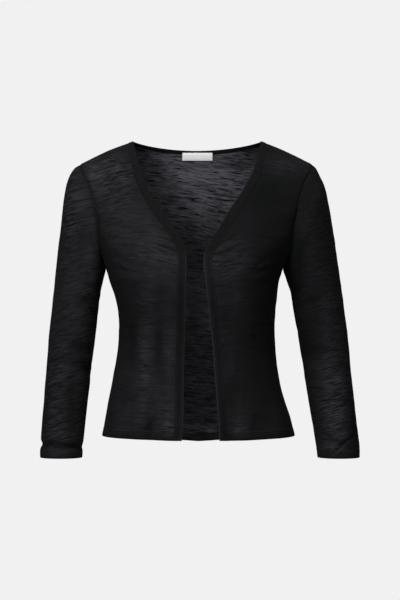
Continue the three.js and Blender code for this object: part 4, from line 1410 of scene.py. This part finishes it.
# %% Stitches round the label
LABEL_STITCH, LABEL_THREAD = 1.5, 0.16
LABEL_STITCH_PITCH, LABEL_STITCH_PROUD = 2.0, 0.08
LABEL_SAMPLES = 60


def label_run(across_ends, down_ends):
    share = np.linspace(0, 1, LABEL_SAMPLES)
    a, d = mix(*across_ends, share), mix(*down_ends, share)
    line = label_point(a, d, np.full(share.shape, LABEL_THICK + LABEL_STITCH_PROUD))
    return places_along(line, -outward(BACK, line), LABEL_STITCH_PITCH)


wide_end, tall_end = 1 - 2 * LABEL_INSET / LABEL_WIDE, LABEL_INSET / LABEL_TALL
wide_ends, tall_ends = (-wide_end, wide_end), (tall_end, 1 - tall_end)
label_runs = [label_run(wide_ends, (at, at)) for at in tall_ends]
label_runs += [label_run((at, at), tall_ends) for at in wide_ends]
label_thread = stitches("label_stitches", label_runs, LABEL_STITCH, LABEL_THREAD)

# %% [markdown]
# ## Materials
#
# Colours are given as the sRGB hex values that a dye chart would use. Blender mixes light in
# linear numbers, so one function turns them. One more function adds a shader node, sets it and
# links it.

# %% Colour and node helpers
def linear(hex_colour):
    channels = [int(hex_colour[i : i + 2], 16) / 255 for i in (1, 3, 5)]
    return [c / 12.92 if c <= 0.04045 else ((c + 0.055) / 1.055) ** 2.4 for c in channels] + [1.0]


def add(tree, kind, **given):
    """Adds one node. Sockets given are linked to the inputs of those names; the rest is set."""
    node = tree.nodes.new("ShaderNode" + kind)
    for name, value in given.items():
        if hasattr(node, name):
            setattr(node, name, value)
            continue
        key = int(name[3:]) if name.startswith("in_") else name.replace("_", " ")
        if isinstance(value, bpy.types.NodeSocket):
            tree.links.new(value, node.inputs[key])
        else:
            node.inputs[key].default_value = value
    return node


def new_material(name):
    material = bpy.data.materials.new(name)
    material.use_nodes = True
    material.node_tree.nodes.clear()
    return material, material.node_tree


def finish_material(tree, shader):
    add(tree, "OutputMaterial", Surface=shader.outputs[0])


# %% [markdown]
# ### Black slub jersey
#
# The cloth is a very fine single jersey of viscose. Its yarn is spun thick and thin: a slub is a
# stretch of a centimetre or two where the yarn is thicker. Knitting lays each slub along one row
# of loops, so it shows as a short dark dash across the cloth, about two millimetres tall, and
# where slubs fall together there is a longer, heavier one. The rows between are thin enough to see
# through, which greys the black where the cloth is stretched. Viscose dyed black is matt.
#
# We could paint the dashes on an image. Stretched noise does it with no image: the flat cloth's
# places are divided by a slub's length one way and its height the other before noise is read. The
# loops themselves, 0.7 mm apart, are too fine to show, so they are drawn at 1.2 mm and kept faint.

# %% Patterns of the yarn
CRINKLE = 0.6
YARN = {
    # long and tall in mm, detail, place in the noise, crinkle, noise from, to, value from, to
    "slubs": (15, 1.9, 2, 3.1, CRINKLE, 0.39, 0.61, -0.6, 0.6),
    "streaks": (28, 3, 1, 8.7, 0, 0.38, 0.62, -0.3, 0.3),
    "clouds": (40, 24, 2, 5.3, 0, 0.3, 0.7, 0.75, 1.25),
    "dashes": (27, 3, 1, 6.2, CRINKLE, 0.36, 0.46, -0.8, 0.1),
}
NOISE_ROUGHNESS = 0.55


def stretched_noise(tree, places, long, tall, detail, shift, crinkle=0.0):
    size = (1 / (long * MM), 1 / (tall * MM), 1)
    scaled = add(tree, "Mapping", Vector=places, Scale=size, Location=(shift, shift, shift))
    look = dict(Scale=1.0, Detail=detail, Roughness=NOISE_ROUGHNESS, Distortion=crinkle)
    return add(tree, "TexNoise", Vector=scaled.outputs[0], **look).outputs["Fac"]


def spread(tree, value, low, high, to_low=0.0, to_high=1.0):
    ends = dict(From_Min=low, From_Max=high, To_Min=to_low, To_Max=to_high)
    return add(tree, "MapRange", Value=value, **ends).outputs[0]


def calculate(tree, operation, a, b):
    return add(tree, "Math", operation=operation, in_0=a, in_1=b).outputs[0]


def blended(tree, factor, low, high):
    """A colour part of the way from one hex colour, or node's colour, to another."""
    node = add(tree, "Mix", data_type="RGBA", Factor=factor)
    for key, colour in (("A", low), ("B", high)):
        if isinstance(colour, str):
            node.inputs[key].default_value = linear(colour)
        else:
            tree.links.new(colour, node.inputs[key])
    return node.outputs["Result"]


# %% [markdown]
# The yarn's parts are added up, weighted by `slub`, and lightened or darkened by broad clouds.
# Times `sheer_and_light`, the openness with its painted light and shade, they say how far the
# cloth's colour goes from closed to open. The same pattern raises the cloth a little, so that a
# slub also catches the light.

# %% The jersey's material
LOOP, LOOP_UNEVEN, LOOP_SHARE = 1.2, 0.35, 0.15
RELIEF, RELIEF_STRENGTH = 0.35, 0.5
JERSEY_IOR, JERSEY_SPECULAR = 1.47, 0.12
CLOSED, OPEN = "#0c0d0e", "#6c6a72"


def slub_jersey():
    material, tree = new_material("black_slub_viscose_jersey")
    places = add(tree, "UVMap", uv_map="cloth").outputs[0]
    sheer_and_light = add(tree, "Attribute", attribute_name="sheer_and_light").outputs["Fac"]
    strength = add(tree, "Attribute", attribute_name="slub").outputs["Fac"]
    slubs, streaks, clouds, dashes = (
        spread(tree, stretched_noise(tree, places, *row[:5]), *row[5:]) for row in YARN.values()
    )
    yarn = calculate(tree, "ADD", calculate(tree, "ADD", slubs, streaks), dashes)
    thin = calculate(tree, "MULTIPLY", yarn, strength)
    opened = calculate(tree, "MULTIPLY", calculate(tree, "ADD", thin, 1.0), clouds)
    colour = blended(tree, calculate(tree, "MULTIPLY", opened, sheer_and_light), CLOSED, OPEN)
    per_loop = 1 / (LOOP * MM)
    grain = add(tree, "Mapping", Vector=places, Scale=(per_loop, per_loop, 1)).outputs[0]
    loops = add(tree, "TexVoronoi", Vector=grain, Scale=1.0, Randomness=LOOP_UNEVEN)
    raised = calculate(tree, "MULTIPLY", loops.outputs["Distance"], LOOP_SHARE)
    height = calculate(tree, "SUBTRACT", raised, thin)
    bump = add(tree, "Bump", Height=height, Strength=RELIEF_STRENGTH, Distance=RELIEF * MM)
    shader = add(
        tree, "BsdfPrincipled", Base_Color=colour, Roughness=0.9, IOR=JERSEY_IOR,
        Specular_IOR_Level=JERSEY_SPECULAR, Normal=bump.outputs[0],
    )
    finish_material(tree, shader)
    return material


# %% [markdown]
# ### Binding, thread and label
#
# The band is the same jersey pulled smooth round a fold, so its slubs hardly show and its loops lie
# in fine ribs across it. The sewing thread is black polyester, a little glossier than the cloth.
# The label is white polyester satin, woven so close that only fine ribs show across it. It also
# glows faintly, painted light that makes it brighter than plain white.

# %% Binding, thread and label materials
RIB, SATIN_RIB = 1.6, 1.2  # from one rib to the next
WAVE_TURNS = 20  # radians the wave texture turns for each unit of its scale
RIB_SHARE, RIB_WANDER = 0.4, 0.4
PATCHES = (10, 6, 2, 1.7)  # long and tall in mm, detail, place in the noise
PATCH_RANGE = (0.3, 0.7)  # the part of the noise that is spread from 0 to 1
# a faint glow that brightens the label: painted light
LABEL_GLOW = 0.16
# the colour where `pale` is high: the painted highlight at the band's edge and its paler tone
PALE, PALE_MOST = "#404045", 0.6
TWISTS = 2600.0  # turns of the thread in a metre


def ribbed(name, low, high, rib, roughness, specular, depth, glow=0.0):
    """A close cloth with fine ribs along one of its directions."""
    material, tree = new_material(name)
    places = add(tree, "UVMap", uv_map="cloth").outputs[0]
    pace = 2 * math.pi / (WAVE_TURNS * rib * MM)
    look = dict(Scale=pace, Distortion=RIB_WANDER, bands_direction="Y")
    ribs = add(tree, "TexWave", Vector=places, **look).outputs["Fac"]
    patches = spread(tree, stretched_noise(tree, places, *PATCHES), *PATCH_RANGE)
    patches_part = calculate(tree, "MULTIPLY", patches, 1 - RIB_SHARE)
    tone = calculate(tree, "ADD", calculate(tree, "MULTIPLY", ribs, RIB_SHARE), patches_part)
    pale = add(tree, "Attribute", attribute_name="pale").outputs["Fac"]
    pale = calculate(tree, "MULTIPLY", pale, PALE_MOST)
    colour = blended(tree, pale, blended(tree, tone, low, high), PALE)
    bump = add(tree, "Bump", Height=ribs, Strength=0.4, Distance=depth * MM)
    shader = add(
        tree, "BsdfPrincipled", Base_Color=colour, Roughness=roughness, IOR=JERSEY_IOR,
        Specular_IOR_Level=specular, Normal=bump.outputs[0], Emission_Strength=glow,
        Emission_Color=linear("#ffffff"),
    )
    finish_material(tree, shader)
    return material


def polyester_thread(name, colour):
    material, tree = new_material(name)
    twist = add(tree, "TexNoise", Scale=TWISTS, Detail=1.0)
    bump = add(tree, "Bump", Height=twist.outputs["Fac"], Strength=0.3, Distance=0.1 * MM)
    shader = add(
        tree, "BsdfPrincipled", Base_Color=linear(colour), Roughness=0.62, IOR=1.55,
        Specular_IOR_Level=0.4, Normal=bump.outputs[0],
    )
    finish_material(tree, shader)
    return material


jersey = slub_jersey()
binding = ribbed(
    "black_jersey_binding", "#0b0b0c", "#131315",
    rib=RIB, roughness=0.88, specular=JERSEY_SPECULAR, depth=0.2,
)
satin = ribbed(
    "white_woven_satin", "#f4f4f2", "#fdfdfc",
    rib=SATIN_RIB, roughness=0.55, specular=0.4, depth=0.1, glow=LABEL_GLOW,
)
black_thread = polyester_thread("black_polyester_thread", "#17171a")
white_thread = polyester_thread("white_polyester_thread", "#f2f2f0")
finishes = (jersey, binding, satin, black_thread, white_thread)
print("finishes:", [finish.name for finish in finishes])

# %% [markdown]
# ## Put the pieces on the frame
#
# Each piece takes its finish, rides on the frame and stands for the plain solid it replaces. The
# jersey's pieces and the bands already go by the names of those solids. Stitches and seam
# allowances stand for none.

# %% Ride and replace
# piece, material, slot, replaced node
dressed = [(made[0], jersey, "jersey", node) for node, made in {**cloth, **sleeves}.items()]
dressed += [(piece, binding, "binding", node) for node, piece in bands.items()]
dressed += [
    (label, satin, "woven_label", "label"),
    (label_thread, white_thread, "woven_label", None),
    (overlocked, black_thread, "jersey", None),
]
dressed += [(piece, black_thread, "jersey", None) for piece in thread.values()]
for piece, material, slot, node in dressed:
    piece.data.materials.append(material)
    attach(piece, "root")
    if node:
        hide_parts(node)
print("pieces:", len(dressed))

# %% [markdown]
# Each piece that stands for a solid prints its area: half that of its closed wall, which is about
# one face. A front comes from a rectangle 195 by 540 mm, less its armhole, its neck and its shaped
# side. The turn-ups and seam allowances, which don't show, are not counted.

for piece, _, _, node in dressed:
    if node:
        one_face = sum(face.area for face in piece.data.polygons) / 2
        print(piece.name, "one face, square metres:", round(one_face, 4))

# %% [markdown]
# ## Studio
#
# The cardigan hangs in a plain pale room, over a floor that fades out at its rim. The room's own
# light is weak, so that it can be bright to look at without washing out the black cloth. One large
# soft light stands in front on the wearer's right, a weaker one on the other side, and one above
# shines down through the neck onto the back's inner face.

# %% Room, floor and lights
ROOM = "#f1f1f1"
ROOM_LIGHT = 0.12
FLOOR_Z = -1.05
FLOOR_RADIUS = 1.9
FADE_FROM, FADE_TO = 0.25, 0.97  # as shares of the radius
CHEST, NAPE = (0.0, -0.06, -0.25), (0.0, 0.0, -0.05)


def pale_room():
    world = bpy.data.worlds.new("pale_room")
    world.use_nodes = True
    tree = world.node_tree
    tree.nodes.clear()
    seen = add(tree, "Background", Color=linear(ROOM), Strength=1.0).outputs[0]
    lit = add(tree, "Background", Color=(1, 1, 1, 1), Strength=ROOM_LIGHT).outputs[0]
    is_seen = add(tree, "LightPath").outputs["Is Camera Ray"]
    either = add(tree, "MixShader", in_0=is_seen, in_1=lit, in_2=seen)
    output = add(tree, "OutputWorld", Surface=either.outputs[0])
    output.is_active_output = True
    bpy.context.scene.world = world


def pale_floor():
    bpy.ops.mesh.primitive_circle_add(
        vertices=96, radius=FLOOR_RADIUS, fill_type="NGON", location=(0, 0, FLOOR_Z)
    )
    floor = bpy.context.object
    floor.name = "floor"
    material, tree = new_material("pale_floor_paint")
    spot = add(tree, "TexCoord").outputs["Object"]
    away = add(tree, "VectorMath", operation="LENGTH", in_0=spot).outputs["Value"]
    fade = spread(tree, away, FLOOR_RADIUS * FADE_FROM, FLOOR_RADIUS * FADE_TO)
    paint = add(tree, "BsdfDiffuse", Color=linear("#e4e4e4"), Roughness=0.5).outputs[0]
    clear = add(tree, "BsdfTransparent").outputs[0]
    finish_material(tree, add(tree, "MixShader", in_0=fade, in_1=paint, in_2=clear))
    floor.data.materials.append(material)


def soft_light(name, place, target, size, power):
    lamp = bpy.data.lights.new(name, "AREA")
    lamp.shape = "DISK"
    lamp.size = size
    lamp.energy = power
    light = bpy.data.objects.new(name, lamp)
    light.location = place
    way = np.array(target) - np.array(place)
    light.rotation_euler = Vector(way).to_track_quat("-Z", "Y").to_euler()
    bpy.context.scene.collection.objects.link(light)


pale_room()
pale_floor()
soft_light("key_light", (-1.45, -2.35, 0.75), CHEST, size=1.1, power=37)
soft_light("fill_light", (1.9, -2.6, -0.2), CHEST, size=1.6, power=6)
soft_light("top_light", (-0.1, -0.75, 1.7), NAPE, size=0.6, power=28)

# %% [markdown]
# ## Camera
#
# The picture is taken from straight in front with a long lens, from about four metres, so that the
# cardigan is seen almost without perspective. The standard view keeps the colours as they were
# mixed: the filmic one would lift black cloth to grey.

# %% Camera
camera_data = bpy.data.cameras.new("camera")
camera_data.lens = 150
camera_data.sensor_width = 36
camera = bpy.data.objects.new("camera", camera_data)
camera.location = (0.004, -4.058, -0.2422)
camera.rotation_euler = (math.pi / 2, 0, 0)
bpy.context.scene.collection.objects.link(camera)
bpy.context.scene.camera = camera
bpy.context.scene.view_settings.view_transform = "Standard"
print("the camera's distance, m:", round(camera.location.length, 2))

# %% Update the scene
bpy.context.view_layer.update()
